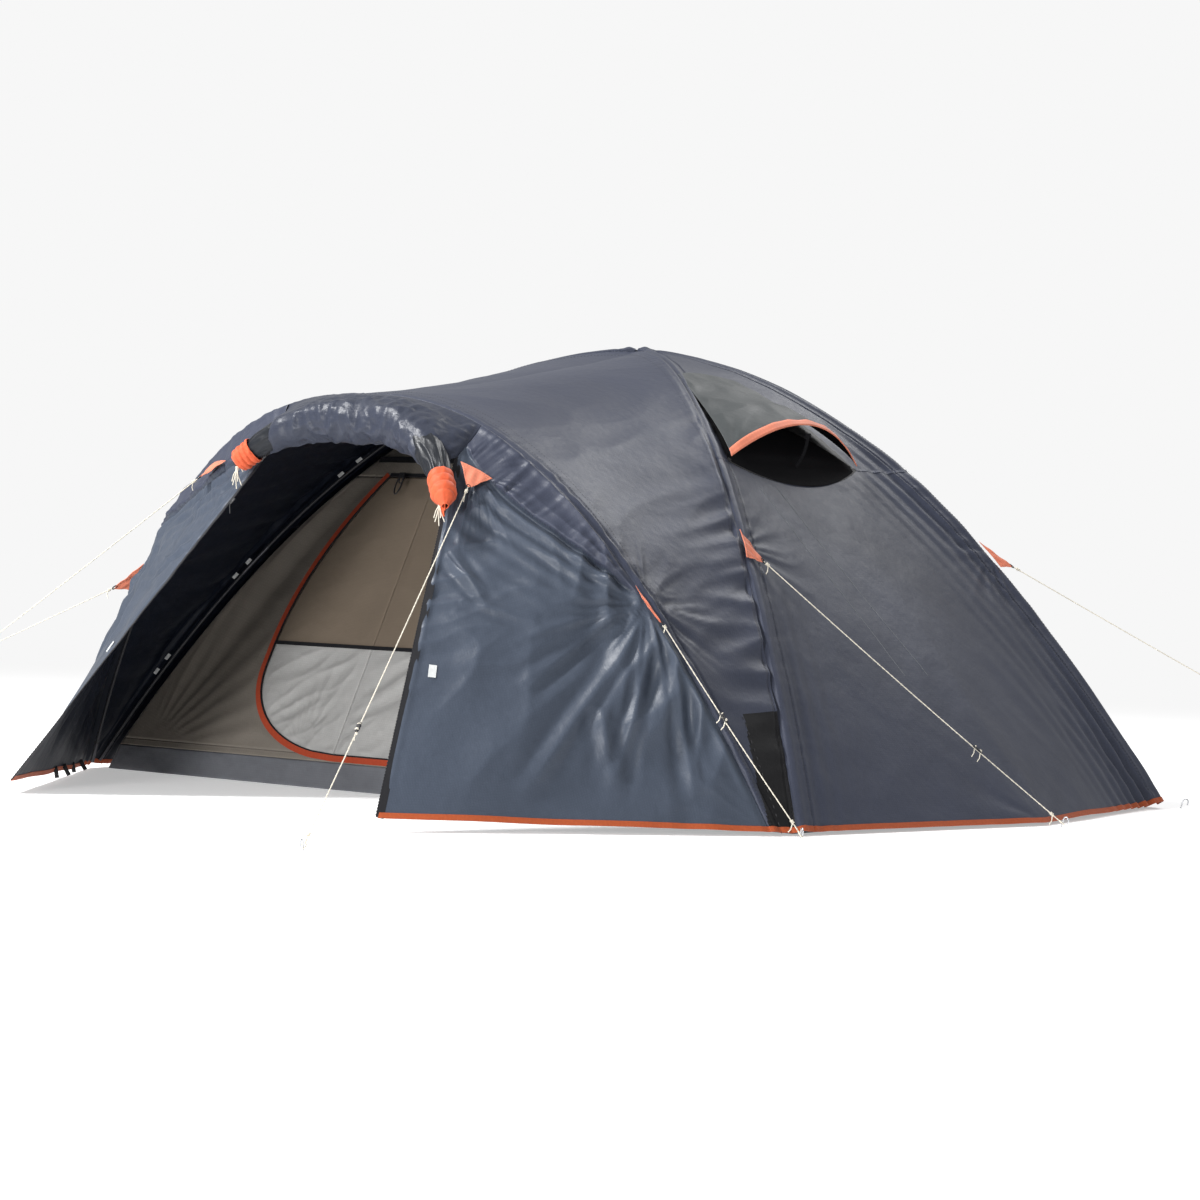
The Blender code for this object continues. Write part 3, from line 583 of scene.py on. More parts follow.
def porch_arch(across, inset=0.0):
    """Point on the porch arch: across runs from -1 at the left foot to 1 at the right foot."""
    height = HEM_HEIGHT + (PORCH_HEIGHT - inset - HEM_HEIGHT) * (1 - abs(across) ** PORCH_ROUNDNESS)
    y = -HALF_DEPTH - PORCH_FOOT_GAP - tan(PORCH_LEAN) * height
    return Vector(((PORCH_HALF_WIDTH - inset) * across, y, height))


def flare_share(reach):
    return max(0.0, (reach - 0.55) / 0.45) ** 2


def wall_hollow(reach, across):
    return PANEL_DIP * (1 - across ** 2) * sin(pi * min(1.0, reach)) ** 2


def side_wall(side, reach, across, inset=0.0, flare=SIDE_FLARE):
    """Side panel: across runs from -1 at the front to 1 at the back."""
    point = leg(side, -1, reach, inset).lerp(leg(side, 1, reach, inset), (across + 1) / 2)
    point.x += side * (flare * (1 - abs(across)) * flare_share(reach) - wall_hollow(reach, across))
    return point


def back_wall(reach, across, inset=0.0, flare=BACK_FLARE):
    """Back panel: across runs from -1 at the right to 1 at the left."""
    point = leg(1, 1, reach, inset).lerp(leg(-1, 1, reach, inset), (across + 1) / 2)
    point.y += flare * (1 - across ** 2) * flare_share(reach) - wall_hollow(reach, across)
    return point


def porch_roof_point(across, forward):
    """Porch roof between the dome's front seams (forward 0) and the porch arch (forward 1)."""
    seam = leg(1 if across >= 0 else -1, -1, abs(across))
    point = seam.lerp(porch_arch(across), forward)
    outward = Vector((across, 0, 1 - across ** 2)).normalized()
    return point - outward * ROOF_SAG * 4 * forward * (1 - forward) * cos(across * pi / 2)


def zip_top(side):
    """Top of a fly zip, as if it were on the right."""
    return Vector((ZIP_TOP_X[side], ZIP_TOP_Y, ZIP_TOP_HEIGHT))


def mirrored(point, side):
    """A point of the right side, or its mirror image on the left."""
    return Vector((point.x * side, point.y, point.z))


def front_panel_point(side, down, outward):
    """Front panel: down runs along the zip edge, outward from the zip edge to the porch arch."""
    start = ZIP_TOP_X[side] / PORCH_HALF_WIDTH
    arch_point = porch_arch(start + (1 - start) * down)
    return mirrored(zip_top(side).lerp(ZIP_FOOT, down).lerp(arch_point, outward), side)


def roll_point(spot):
    """Centre of the rolled fly door, spot from -1 to 1 along its length."""
    x = ROLL_MIDDLE + ROLL_HALF_LENGTH * spot
    arch = porch_arch(x / PORCH_HALF_WIDTH)
    ahead = ROLL_RADIUS + 0.01 + (0.14 + 0.04 * spot) * spot ** 2
    below = ROLL_RADIUS + 0.025 + 0.085 * abs(spot) ** 3
    return Vector((x, arch.y - ahead, arch.z - below))


def roll_radius(spot):
    return ROLL_RADIUS - (ROLL_RADIUS - ROLL_END_RADIUS) * spot ** 2


# Wrinkles: each returns metres to move a point outwards

def crumple(place, scale, seed=0.0):
    """Creased noise from -1 to 1, sharp along its ridges."""
    return 1 - 2.6 * abs(noise.noise(place * scale + Vector((seed, seed * 1.7, -seed))))


def soft_noise(place, scale, seed=0.0):
    return noise.noise(place * scale + Vector((seed, -seed, seed * 0.6)))


def star_creases(place, outward, anchor, toward, folds, reach, height, phase):
    """Uneven creases that fan out from an anchor where the fabric is pulled, most of them one way."""
    offset = place - anchor
    distance = offset.length
    if distance >= reach or distance < 1e-6:
        return 0.0
    toward = Vector(toward)
    forward = (toward - outward * toward.dot(outward)).normalized()
    angle = atan2(offset.dot(outward.cross(forward)), offset.dot(forward))
    ray = noise.noise(Vector((angle * folds * 0.17, distance * 1.8, phase * 7.3)))
    facing = max(0.0, cos(angle / 2)) ** 1.5
    fade = min(1.0, distance / (0.22 * reach)) * (1 - distance / reach) ** 1.2
    return height * fade * facing * (1 - 3.4 * abs(ray))


def stretched(place, direction, length, width, seed):
    """Soft folds that run along a direction, from -1 to 1."""
    along = place.dot(direction)
    rest = place - direction * along
    return noise.noise(direction * (along / length) + rest / width + Vector((seed, seed * 0.7, -seed)))


def sharp_folds(place, direction, length, width, seed):
    """Folds along a direction with sharp ridges, from -1 to 1."""
    return 1 - 3.4 * abs(stretched(place, direction, length, width, seed))


def long_folds(distance, along, width, spacing, height, seed=0.0):
    """Folds that run beside a seam and fade away from it."""
    if distance > width * 3:
        return 0.0
    wander = 1.2 * noise.noise(Vector((along * 0.9, seed, distance * 2)))
    wave = cos(2 * pi * distance / spacing + wander)
    return height * exp(-distance / width) * wave * (0.6 + 0.4 * sin(along * 5 + seed))


def seam_ripples(distance, along, width, spacing, height, seed=0.0):
    """Short ripples across a gathered seam, sharp along their ridges."""
    if distance > width * 2.5:
        return 0.0
    wave = 1 - 3.2 * abs(noise.noise(Vector((along / spacing * 0.6, distance * 2, seed))))
    return height * wave * exp(-(distance / width) ** 1.3)


def all_creases(place, outward, fans):
    """Sum of fans of creases, each (anchor, toward, number of folds, reach, height, phase)."""
    return sum(star_creases(place, outward, *fan) for fan in fans)


def bulge(distance, middle, width, height):
    """Round ridge along a seam, or a groove where its height is negative."""
    return height * exp(-((distance - middle) / width) ** 2)


def sleeve(gap, groove_depth):
    """Pole sleeve beside a seam: the pole's bulge and the sunk stitching at the sleeve's edge."""
    return bulge(gap, 0.022, 0.016, 0.006) + bulge(gap, SLEEVE_WIDTH, 0.004, -groove_depth)


# Fly

def vent_share(across, reach):
    """Where a point of the side wall lies along the vent: -1 and 1 are its corners."""
    return (HALF_DEPTH * reach * across - VENT_MIDDLE) / VENT_HALF_WIDTH


VENT_REACH = reach_at(VENT_HEIGHT)
SLOPE_PER_REACH = 1.83       # metres down the wall per unit of reach at the vent


def upper_side_point(side, across, down):
    """Side wall above the vent, down from 0 at the peak to 1 at the window's upper edge."""
    share = vent_share(across, VENT_REACH)
    edge = VENT_REACH - VENT_TOP_RISE / SLOPE_PER_REACH * max(0.0, 1 - share ** 2)
    return side_wall(side, edge * down, across)


def lower_side_point(side, across, down):
    """Side wall below the vent, down from 0 at the window's sill to 1 at the hem."""
    share = vent_share(across, VENT_REACH)
    edge = VENT_REACH + VENT_SILL_DEPTH / SLOPE_PER_REACH * max(0.0, 1 - share ** 2)
    return side_wall(side, edge + (1 - edge) * down, across)


def pinned(share, width=0.02):
    """0 at both ends of a panel, 1 inside."""
    return smooth_step(0, width, share) * smooth_step(0, width, 1 - share)


def side_wrinkle(side, place, across, reach):
    """Side wall: pole sleeves, folds beside the back pole, creases from the tabs and pegs."""
    front_gap = (1 + across) * HALF_DEPTH * reach
    back_gap = (1 - across) * HALF_DEPTH * reach
    outward = Vector((side, 0, 0.75)).normalized()
    height = 0.0012 * crumple(place, 5.0, 3.0 * side) + 0.0010 * soft_noise(place, 14.0, 1.0)
    height += 0.006 * soft_noise(Vector((place.x, place.y * 1.6, place.z * 0.7)), 3.0, 5.0)
    for gap, seed in ((front_gap, 1.0), (back_gap, 4.0)):
        height += sleeve(gap, 0.003)
        height += seam_ripples(abs(gap - SLEEVE_WIDTH), place.z, 0.03, 0.022, 0.0012, seed)
    low_folds = smooth_step(0.35, 0.7, reach)
    height += long_folds(max(0.0, back_gap - SLEEVE_WIDTH), place.z, 0.14, 0.066, 0.017 * low_folds, 2.0)
    lower_front = 0.005 * smooth_step(0.6, 0.9, reach)
    height += long_folds(max(0.0, front_gap - SLEEVE_WIDTH), place.z, 0.07, 0.06, lower_front, 6.0)
    slanting = Vector((side * -0.45, -0.45, 0.77)).normalized()
    corner = smooth_step(0.6, 0.85, reach) * smooth_step(0.0, 0.5, across)
    height += 0.0016 * sharp_folds(place, slanting, 0.6, 0.09, 3.0) * corner
    height += all_creases(place, outward, (
        (leg(side, -1, LEG_TAB_REACH), (0, 1, -0.9), 15, 0.34, 0.005, 1.0),
        (leg(side, 1, LEG_TAB_REACH), (0, -1, -0.9), 15, 0.34, 0.005, 1.0),
        (side_wall(side, 1, 0), (0, 0, 1), 16, 0.40, 0.004, 2.0),
        (side_wall(side, 1, 1), (0, -1, 0.9), 20, 0.85, 0.003, 0.4),
    ))
    return height * pinned((across + 1) / 2, 0.006)


def back_wrinkle(place, across, reach):
    """Back wall: pole sleeves, folds beside both poles, creases from the tabs and pegs."""
    gaps = ((1 + across) * HALF_WIDTH * reach, (1 - across) * HALF_WIDTH * reach)
    outward = Vector((0, 1, 0.6)).normalized()
    height = 0.0015 * crumple(place, 4.0, 9.0)
    height += 0.006 * soft_noise(Vector((place.x * 1.5, place.y, place.z * 0.7)), 2.6, 7.0)
    low_folds = 0.007 * smooth_step(0.35, 0.7, reach)
    for gap in gaps:
        height += sleeve(gap, 0.0025)
        height += long_folds(max(0.0, gap - SLEEVE_WIDTH), place.z, 0.14, 0.09, low_folds, 3.0)
    for x_sign in (-1, 1):
        height += all_creases(place, outward, (
            (leg(x_sign, 1, LEG_TAB_REACH), (-x_sign, 0, -0.9), 15, 0.34, 0.005, 1.0),
            (back_wall(1, -x_sign), (-x_sign, 0, 0.8), 24, 0.8, 0.006, 0.4),
        ))
    height += star_creases(place, outward, back_wall(1, 0), (0, 0, 1), 16, 0.4, 0.004, 2.0)
    return height * pinned((across + 1) / 2, 0.006)


def face_kinds(columns, rows, is_other):
    """Material index of each face of a grid: 2 where is_other(row, column), else 0."""
    return [2 if is_other(row, column) else 0 for row in range(rows - 1) for column in range(columns - 1)]


def hood_shade_kinds(columns, rows):
    """Material indices of the upper side wall: black as painted shade where the hood covers it."""
    def is_hood_shaded(row, column):
        upslope = (1 - row / (rows - 2)) * VENT_REACH * SLOPE_PER_REACH
        across = 2 * crowded((column + 0.5) / (columns - 1)) - 1
        share = abs(vent_share(across, VENT_REACH - upslope / SLOPE_PER_REACH))
        return upslope < 0.3 and share < 0.985 - 1.1 * upslope

    return face_kinds(columns, rows, is_hood_shaded)


def build_dome_fly():
    """Fly over the dome: each side wall in two grids that part at the vent, and the back wall."""
    grids, hems, seams = [], [], []
    for side in (1, -1):
        for surface, rows, is_lower in ((upper_side_point, 90, False), (lower_side_point, 150, True)):
            def place_at(u, v):
                return surface(side, 2 * u - 1, v)

            def push(place, u, v):
                near_vent = 1 - smooth_step(0, 0.05, v if is_lower else 1 - v)
                calm = 1 - near_vent * (1 if abs(vent_share(2 * u - 1, VENT_REACH)) < 1.1 else 0.3)
                return side_wrinkle(side, place, 2 * u - 1, reach_at(place.z)) * calm

            places, normals = wrinkled(place_at, 220, rows, push)
            grids.append((places, 0 if is_lower else hood_shade_kinds(220, rows)))
            if is_lower:
                hems.append((places, normals))
            else:
                seams.append((side, places[-1], normals[-1]))
    places, normals = wrinkled(lambda u, v: back_wall(max(v, 0.001), 2 * u - 1), 240, 200,
                               lambda place, u, v: back_wrinkle(place, 2 * u - 1, v))
    grids.append((places, 0))
    hems.append((places, normals))
    fabric("dome_fly_fabric", grids, FLY_MATERIALS, replaced="fly_dome")
    for index, (places, normals) in enumerate(hems):
        build_hem("dome_hem_%d" % (index + 1), places, normals)
    for side, path, normals in seams:
        build_vent_seam(side, path, normals)


def build_hem(name, places, normals, width=0.013):
    """Orange tape bound over a lower edge."""
    edge = places[-1]
    upwards = unit(places[-3] - edge)
    profile = [(-0.002, 0.0016), (-0.002, -0.0022), (width, -0.0022), (width, -CLOTH),
               (width, 0.0002), (width * 0.98, 0.0016)]
    solid_piece(name, [sweep(edge, upwards, normals[-1], profile)], HEM_TAPE)


def build_vent_seam(side, path, normals):
    """Flat seam across the side wall, on both sides of the vent."""
    name = "right" if side > 0 else "left"
    along = path[:, 1]
    parts, threads = [], []
    for chosen in (along < VENT_MIDDLE - VENT_HALF_WIDTH, along > VENT_MIDDLE + VENT_HALF_WIDTH):
        piece, ups = path[chosen], normals[chosen]
        if len(piece) < 4:
            continue
        parts.append(ribbon(piece, ups, 0.010, 0.0009, 0.0002))
        for offset in (-0.003, 0.003):
            threads += stitches(piece, ups, offset=offset, lift=0.0014)
    solid_piece("vent_seam_" + name, parts, FLY)
    solid_piece("vent_seam_thread_" + name, threads, THREAD)


def build_leg_threads():
    """Stitch rows along the pole sleeves, beside the four main pole seams."""
    reaches = evenly(0.16, 0.985, 220)
    for side_name, side in SIDES.items():
        for depth_name, y_sign in (("front", -1), ("back", 1)):
            threads = []
            for width in (0.008, SLEEVE_WIDTH - 0.004, SLEEVE_WIDTH + 0.004):
                path, ups = [], []
                for reach in reaches:
                    across = y_sign * (1 - width / (HALF_DEPTH * reach))
                    here = side_wall(side, reach, across)
                    ahead = side_wall(side, reach + 0.005, across)
                    beside = side_wall(side, reach, across - y_sign * 0.02)
                    normal = (ahead - here).cross(beside - here).normalized()
                    normal = normal if normal.x * side > 0 else -normal
                    path.append(here + normal * (side_wrinkle(side, here, across, reach) + 0.0003))
                    ups.append(normal)
                threads += stitches(np.array(path), np.array(ups), length=0.006, gap=0.004)
            solid_piece("sleeve_thread_%s_%s" % (depth_name, side_name), threads, THREAD)


def roof_wrinkle(place, across, forward):
    """Porch roof: ripples beside the dome seam, creases from the tabs, pole bulge along the arch."""
    side = 1 if across >= 0 else -1
    depth = (leg(side, -1, abs(across)) - porch_arch(across)).length
    seam_gap = forward * depth
    arch_gap = (1 - forward) * depth
    outward = Vector((across, -0.1, 1.02 - across ** 2)).normalized()
    length = abs(across) * 1.7
    height = 0.002 * crumple(place, 5.0, 2.0 * side) + 0.004 * soft_noise(place, 3.0, 8.0)
    height += bulge(arch_gap, 0.012, 0.012, 0.006) + bulge(arch_gap, 0.032, 0.005, -0.003)
    low = smooth_step(0.3, 0.6, abs(across))
    calm_foot = smooth_step(0.10, 0.45, place.z)
    height += seam_ripples(seam_gap, length, 0.12, 0.045, 0.011 * low * calm_foot, 3.0 + side)
    height += seam_ripples(seam_gap, length, 0.03, 0.016, 0.003, 5.0 + side)
    height += seam_ripples(arch_gap, length, 0.05, 0.030, 0.003, 8.0 + side)
    height += bulge(seam_gap, 0.012, 0.005, -0.003)
    anchor = porch_arch(side * PORCH_TAB_SPOT)
    height += all_creases(place, outward, (
        (anchor, (side * 0.3, 1, 0.5), 34, 0.30, 0.005, 0.7),
        (anchor, (0, 1, -0.8), 22, 0.45, 0.003, 2.7),
    ))
    lengthwise = Vector((0.0, 0.9, 0.43))
    beside = smooth_step(0.2, 0.5, abs(across))
    height += 0.0018 * sharp_folds(place, lengthwise, 0.5, 0.09, 11.0 + side) * beside
    return height * pinned(forward, 0.03)


def build_porch_roof():
    """Fly between the dome and the porch pole, with stitched seams, and black faces at its feet as painted
    shade.
    """
    columns, rows = 420, 70
    foot_start = reach_at(FOOT_SHADE_HEIGHT)

    def place_at(u, v):
        return porch_roof_point(2 * u - 1, crowded(v, 0.08))

    def push(place, u, v):
        return roof_wrinkle(place, 2 * u - 1, crowded(v, 0.08))

    def is_foot_shade(row, column):
        across = abs(2 * column / (columns - 2) - 1)
        seam_share = crowded(crowded(row / (rows - 1), 0.08), 0.08)
        return across > foot_start and seam_share < 0.5 + 0.5 * (across - foot_start) / (1 - foot_start)

    places, normals = wrinkled(place_at, columns, rows, push, edges=0.0)
    kinds = face_kinds(columns, rows, is_foot_shade)
    fabric("porch_roof_fabric", [(places, kinds)], FLY_MATERIALS, replaced="fly_porch_roof")
    threads = []
    for row in (6, -9, -13):
        threads += stitches(places[row], normals[row], length=0.006, gap=0.004)
    for side in (-1, 1):
        foot = [index for index in range(columns) if (2 * index / (columns - 1) - 1) * side > foot_start]
        threads += stitches(places[37, foot], normals[37, foot], length=0.012, gap=0.008, width=0.004)
    solid_piece("porch_roof_thread", threads, THREAD)
    for name, column, next_column in (("porch_hem_left", 0, 3), ("porch_hem_right", -1, -4)):
        ends = np.stack([places[:, next_column], places[:, next_column], places[:, column]])
        build_hem(name, ends, np.stack([normals[:, column]] * 3))


def pucker_seam(down):
    """Outward share of the gathered seam that runs from the front tab to the porch tab."""
    return 0.35 + 0.65 * min(1.0, down / PUCKER_END) ** 0.85


PANEL_FOLDS = (               # start and end as shares (down, outward) of a front panel, width, height
    ((0.63, 0.95), (0.96, 0.36), 0.020, 0.016),
    ((0.60, 0.90), (0.72, 0.42), 0.014, 0.009),
    ((0.66, 0.96), (0.96, 0.60), 0.015, 0.012),
    ((0.70, 0.98), (0.97, 0.82), 0.014, 0.012),
    ((0.78, 0.66), (0.93, 0.62), 0.022, 0.012),
    ((0.30, 0.10), (0.50, 0.34), 0.012, 0.007),
    ((0.46, 0.20), (0.58, 0.55), 0.012, 0.006),
)


def panel_folds(side):
    """Ends, width and height of each long fold in a front panel."""
    return [(front_panel_point(side, *start), front_panel_point(side, *end), width, height)
            for start, end, width, height in PANEL_FOLDS]


def fold_height(place, folds):
    """Sharp crests with a hollow beside them, tapering to both ends of each fold."""
    height = 0.0
    bend = 0.02 * noise.noise(place * 4.0)
    for start, end, width, crest in folds:
        line = end - start
        share = (place - start).dot(line) / line.length_squared
        if 0 < share < 1:
            distance = (place - start - line * share).length + bend
            taper = sin(pi * share ** 0.8) ** 0.7
            hollow = bulge(distance, 2.0 * width, width, 0.55)
            height += crest * taper * (exp(-abs(distance) / width) - hollow)
    return height


def gathered_seam(side, place, down, seam_gap):
    """Puckers above and below the seam between the front tab and the porch tab."""
    above = smooth_step(-0.004, 0.004, seam_gap)
    fade = smooth_step(0.0, 0.05, down) * smooth_step(0, 0.12, PUCKER_END - down)
    over, below = max(0.0, seam_gap), max(0.0, -seam_gap)
    slanting = Vector((side * 0.3, 0.7, 0.65)).normalized()
    ridge = 0.009 * exp(-over / 0.06) + seam_ripples(over, down * 1.2, 0.035, 0.014, 0.0045, 2.0)
    ridge += 0.003 * sharp_folds(place, slanting, 0.3, 0.035, 6.0)
    waves = 0.011 * exp(-below / 0.09) * cos(2 * pi * below / 0.048 + 2.4)
    return fade * (above * ridge + (1 - above) * waves)


def panel_wrinkle(side, place, down, outward, folds):
    """Front panel: gathered seam, tension folds under it, creases from the porch tab and the pole's foot."""
    normal = Vector((side * 0.62, -0.78, 0.1))
    width = (front_panel_point(side, down, 0) - front_panel_point(side, down, 1)).length
    height = 0.0016 * crumple(place, 6.0, 4.0 * side) + 0.006 * soft_noise(place, 3.0, 2.0 * side)
    if down < PUCKER_END:
        height += gathered_seam(side, place, down, (outward - pucker_seam(down)) * width)
    porch_tab = mirrored(porch_arch(PORCH_TAB_SPOT), side)
    front_tab = front_panel_point(side, *FRONT_TAB[side])
    height += all_creases(place, normal, (
        (porch_tab, (-side * 0.9, -0.4, -0.25), 30, 0.55, 0.009, 0.3),
        (porch_tab, (-side * 0.3, -0.2, -1.0), 22, 0.75, 0.007, 1.3),
        (mirrored(zip_top(side), side), (side * 0.3, -0.2, -1), 26, 0.42, 0.006, 1.1),
        (front_tab, (-side * 0.1, -0.3, -1), 34, 0.30, 0.007, 2.2),
        (mirrored(porch_arch(1), side), (-side * 0.5, -0.4, 1), 22, 0.80, 0.006, 0.9),
    ))
    swoop = Vector((side * 0.42, 0.35, 0.84)).normalized()
    upright = Vector((side * 0.08, 0.05, 0.99)).normalized()
    level = Vector((side * 0.75, 0.6, 0.2)).normalized()
    middle = smooth_step(0.25, 0.5, down) * smooth_step(0.05, 0.3, outward)
    outer = smooth_step(0.6, 0.85, outward) * middle
    upper = smooth_step(0.1, 0.3, down) * smooth_step(0, 0.3, 0.8 - down) * smooth_step(0, 0.3, 0.7 - outward)
    height += 0.014 * sharp_folds(place, swoop, 0.7, 0.20, 5.0 * side) * middle
    height += 0.010 * sharp_folds(place, upright, 0.8, 0.090, 8.0) * outer
    height += 0.005 * sharp_folds(place, level, 0.25, 0.07, 2.5) * upper
    height += bulge(outward * width, 0.012, 0.010, 0.004)
    height += bulge((1 - outward) * width, 0.012, 0.012, 0.004)
    height += 1.4 * fold_height(place, folds)
    calm = 0.15 + 0.85 * smooth_step(0.03, 0.10, (place - front_tab).length) if side > 0 else 0.7
    hem_share = 0.25 + 0.75 * smooth_step(0, 0.16, 1 - down)
    zip_share = 0.35 + 0.65 * smooth_step(0, 0.06, outward)
    return height * calm * smooth_step(0, 0.03, 1 - outward) * zip_share * hem_share


def build_front_panel(side_name, side):
    """Front panel with its seam, hem, zip and touch-and-close patch."""
    columns, rows, edges = 150, 210, 0.06
    folds = panel_folds(side)
    middle = np.array((0.0, -0.9, 0.4))

    def place_at(u, v):
        return front_panel_point(side, v, u)

    def push(place, u, v):
        return panel_wrinkle(side, place, v, u, folds)

    def is_above_seam(row, column):
        down = (row + 0.5) / (rows - 1)
        return down < PUCKER_END and crowded((column + 0.5) / (columns - 1), edges) > pucker_seam(down)

    places, normals = wrinkled(place_at, columns, rows, push, edges=edges, middle=middle)
    kinds = face_kinds(columns, rows, is_above_seam)
    # Below the gathered seam the panel takes the lighter copy of the fly colour as painted light; above it
    # the plain fly colour
    fabric("front_panel_" + side_name, [(places, kinds)], [FLY_PANEL_LIT, FLY_INSIDE_SHADED, FLY, FLY_INSIDE_SHADED],
           replaced="fly_front_" + side_name, middle=middle)
    build_hem("front_hem_" + side_name, places, normals)
    build_fly_zip(side_name, side, places[:, 0], normals[:, 0])
    shares = np.array([crowded(share, edges) for share in evenly(0, 1, columns)])
    seam = []
    for row, down in enumerate(evenly(0, 1, rows)):
        if 0.02 < down < PUCKER_END - 0.005:
            seam.append((row, int(np.argmin(abs(shares - pucker_seam(down))))))
    path, ups = ([part[spot] for spot in seam] for part in (places, normals))
    threads = stitches(resampled(path, 0.01), ups, length=0.006, gap=0.004, width=0.0012)
    solid_piece("front_seam_thread_" + side_name, threads, THREAD)
    build_zip_patch(side_name, places, normals)


def build_fly_zip(side_name, side, edge, ups):
    """Black zip tape folded over the panel's free edge, with its coil."""
    sides = path_frames(edge, ups)
    toward_panel = 1 if np.dot(sides[len(sides) // 2], Vector((side, 0.4, 0))) > 0 else -1
    low, high = (-0.006, 0.014) if toward_panel > 0 else (-0.014, 0.006)
    profile = [(low, -0.0016), (high, -0.0016), (high, 0.0009), (low, 0.0009)]
    parts = [sweep(edge, sides, ups, profile)]
    spots = resampled(edge - sides * toward_panel * 0.006, 0.0042)
    for first, second in zip(spots[::2], spots[1::2]):
        parts.append(tube([first, second], 0.0016, 6))
    solid_piece("fly_zip_" + side_name, parts, BLACK_TAPE)


def build_patch(name, centre, along, up, length, width):
    """Small rectangle of touch-and-close tape with rounded edges, lying on fabric."""
    along, up = Vector(along).normalized(), Vector(up).normalized()
    side = along.cross(up).normalized()
    path = [centre + along * (length * (share - 0.5)) for share in evenly(0, 1, 6)]
    half, low, high = width / 2, 0.0004, 0.0022
    profile = [(-half, low), (half, low), (half * 0.94, high), (-half * 0.94, high)]
    solid_piece(name, [sweep(path, side, up, profile)], HOOK_TAPE)


def build_zip_patch(side_name, places, normals, down=0.63, outward=0.09):
    """Touch-and-close patch beside the zip edge."""
    row = int(down * (len(places) - 1))
    column = int(outward * (places.shape[1] - 1)) + 8
    centre = Vector(places[row, column])
    along = Vector(places[row + 4, column]) - centre
    build_patch("zip_patch_%s_1" % side_name, centre, along, normals[row, column], 0.034, 0.020)


def roll_frames(spots):
    """Centres, sideways and upward directions along the rolled door."""
    centres = np.array([roll_point(spot) for spot in spots])
    tangents = directions(centres)
    cross = unit(np.cross(tangents, (0, 0, 1)))
    return centres, cross, np.cross(cross, tangents)


def roll_taper(spot):
    """The roll narrows to its tied ends."""
    return 1 - 0.72 * smooth_step(0.955, 1.03, abs(spot)) ** 1.3


def build_rolled_door():
    """Fly door rolled up: a creased bundle whose ends are gathered into the cuffs."""
    count, sides = 240, 96
    spots = evenly(-1.0, 1.0, count)
    places = []
    for spot, centre, cross, up in zip(spots, *roll_frames(spots)):
        squeeze = 1 - bulge(abs(spot), TIE_PLACE, 0.09, 0.24)
        gathered = smooth_step(0.35, 0.9, abs(spot))
        for step in range(sides):
            angle = 2 * pi * step / sides
            ring = Vector((cos(angle), sin(angle), spot * 3.0))
            fold = 0.07 * noise.noise(ring * 1.2)
            fold += 0.05 * (1 - 3.4 * abs(noise.noise(ring * 2.1 + Vector((7, 3, 1)))))
            pleat = 0.05 * abs(sin(angle * 5 + 3 * noise.noise(Vector((spot * 2, 0, 4.0))))) * gathered
            radius = roll_radius(spot) * squeeze * (0.95 + fold - pleat) * roll_taper(spot)
            places.append(tuple(centre + (cross * cos(angle) + up * sin(angle)) * radius))
    solid_piece("rolled_door_fabric", [(places, ring_faces(count, sides))], ROLL_SHADED,
                replaced="rolled_fly_door")
    build_door_header()


def header_point(x, v):
    """Fly door between the porch arch (v 0) and the roll that it is wrapped round (v 1)."""
    arch = porch_arch(x / PORCH_HALF_WIDTH)
    spot = (x - ROLL_MIDDLE) / ROLL_HALF_LENGTH
    centre = roll_point(spot)
    radius = roll_radius(spot) * 1.05
    back, up = arch.y - centre.y, arch.z - centre.z
    toward_arch = atan2(up, -back)
    first = toward_arch - acos(min(1.0, radius / sqrt(back * back + up * up)))
    last = radians(-75)
    bend = 0.3               # share of the sheet that hangs free before it meets the roll
    touch = Vector((x, centre.y - radius * cos(first), centre.z + radius * sin(first)))
    if v < bend:
        wrapped = arch.lerp(touch, v / bend)
    else:
        angle = first + (last - first) * (v - bend) / (1 - bend)
        wrapped = Vector((x, centre.y - radius * cos(angle), centre.z + radius * sin(angle)))
    side = 1 if x > 0 else -1
    corner = mirrored(zip_top(side), side)
    joined = smooth_step(abs(corner.x) - 0.10, abs(corner.x), abs(x))
    return wrapped.lerp(arch.lerp(corner, v), joined)


def build_door_header():
    """Upper part of the fly door, drawn over the roll in loose crumples."""
    left, right = -ZIP_TOP_X[-1], ZIP_TOP_X[1]
    middle = np.array((0.1, -1.20, 0.90))

    def place_at(u, v):
        return header_point(left + (right - left) * u, v)

    def push(place, u, v):
        loose = 0.35 + 0.65 * smooth_step(0.12, 0.35, u)
        height = 0.0045 * crumple(place, 10.0, 2.0) + 0.003 * crumple(place, 21.0, 5.0)
        height += 0.0015 * crumple(place, 42.0, 1.0) + 0.005 * soft_noise(place, 6.0, 3.0)
        slanted = Vector((0.35, -0.65, -0.68)).normalized()
        height += 0.0045 * sharp_folds(place, slanted, 0.3, 0.045, 4.0) * smooth_step(0.1, 0.4, v)
        return (height * loose + 0.003) * pinned(u, 0.04) * smooth_step(0.0, 0.15, v)

    places, _ = wrinkled(place_at, 150, 70, push, edges=0.0, middle=middle)
    fabric("door_header_fabric", [(places, 0)], [HEADER, FLY_INSIDE_SHADED], middle=middle)


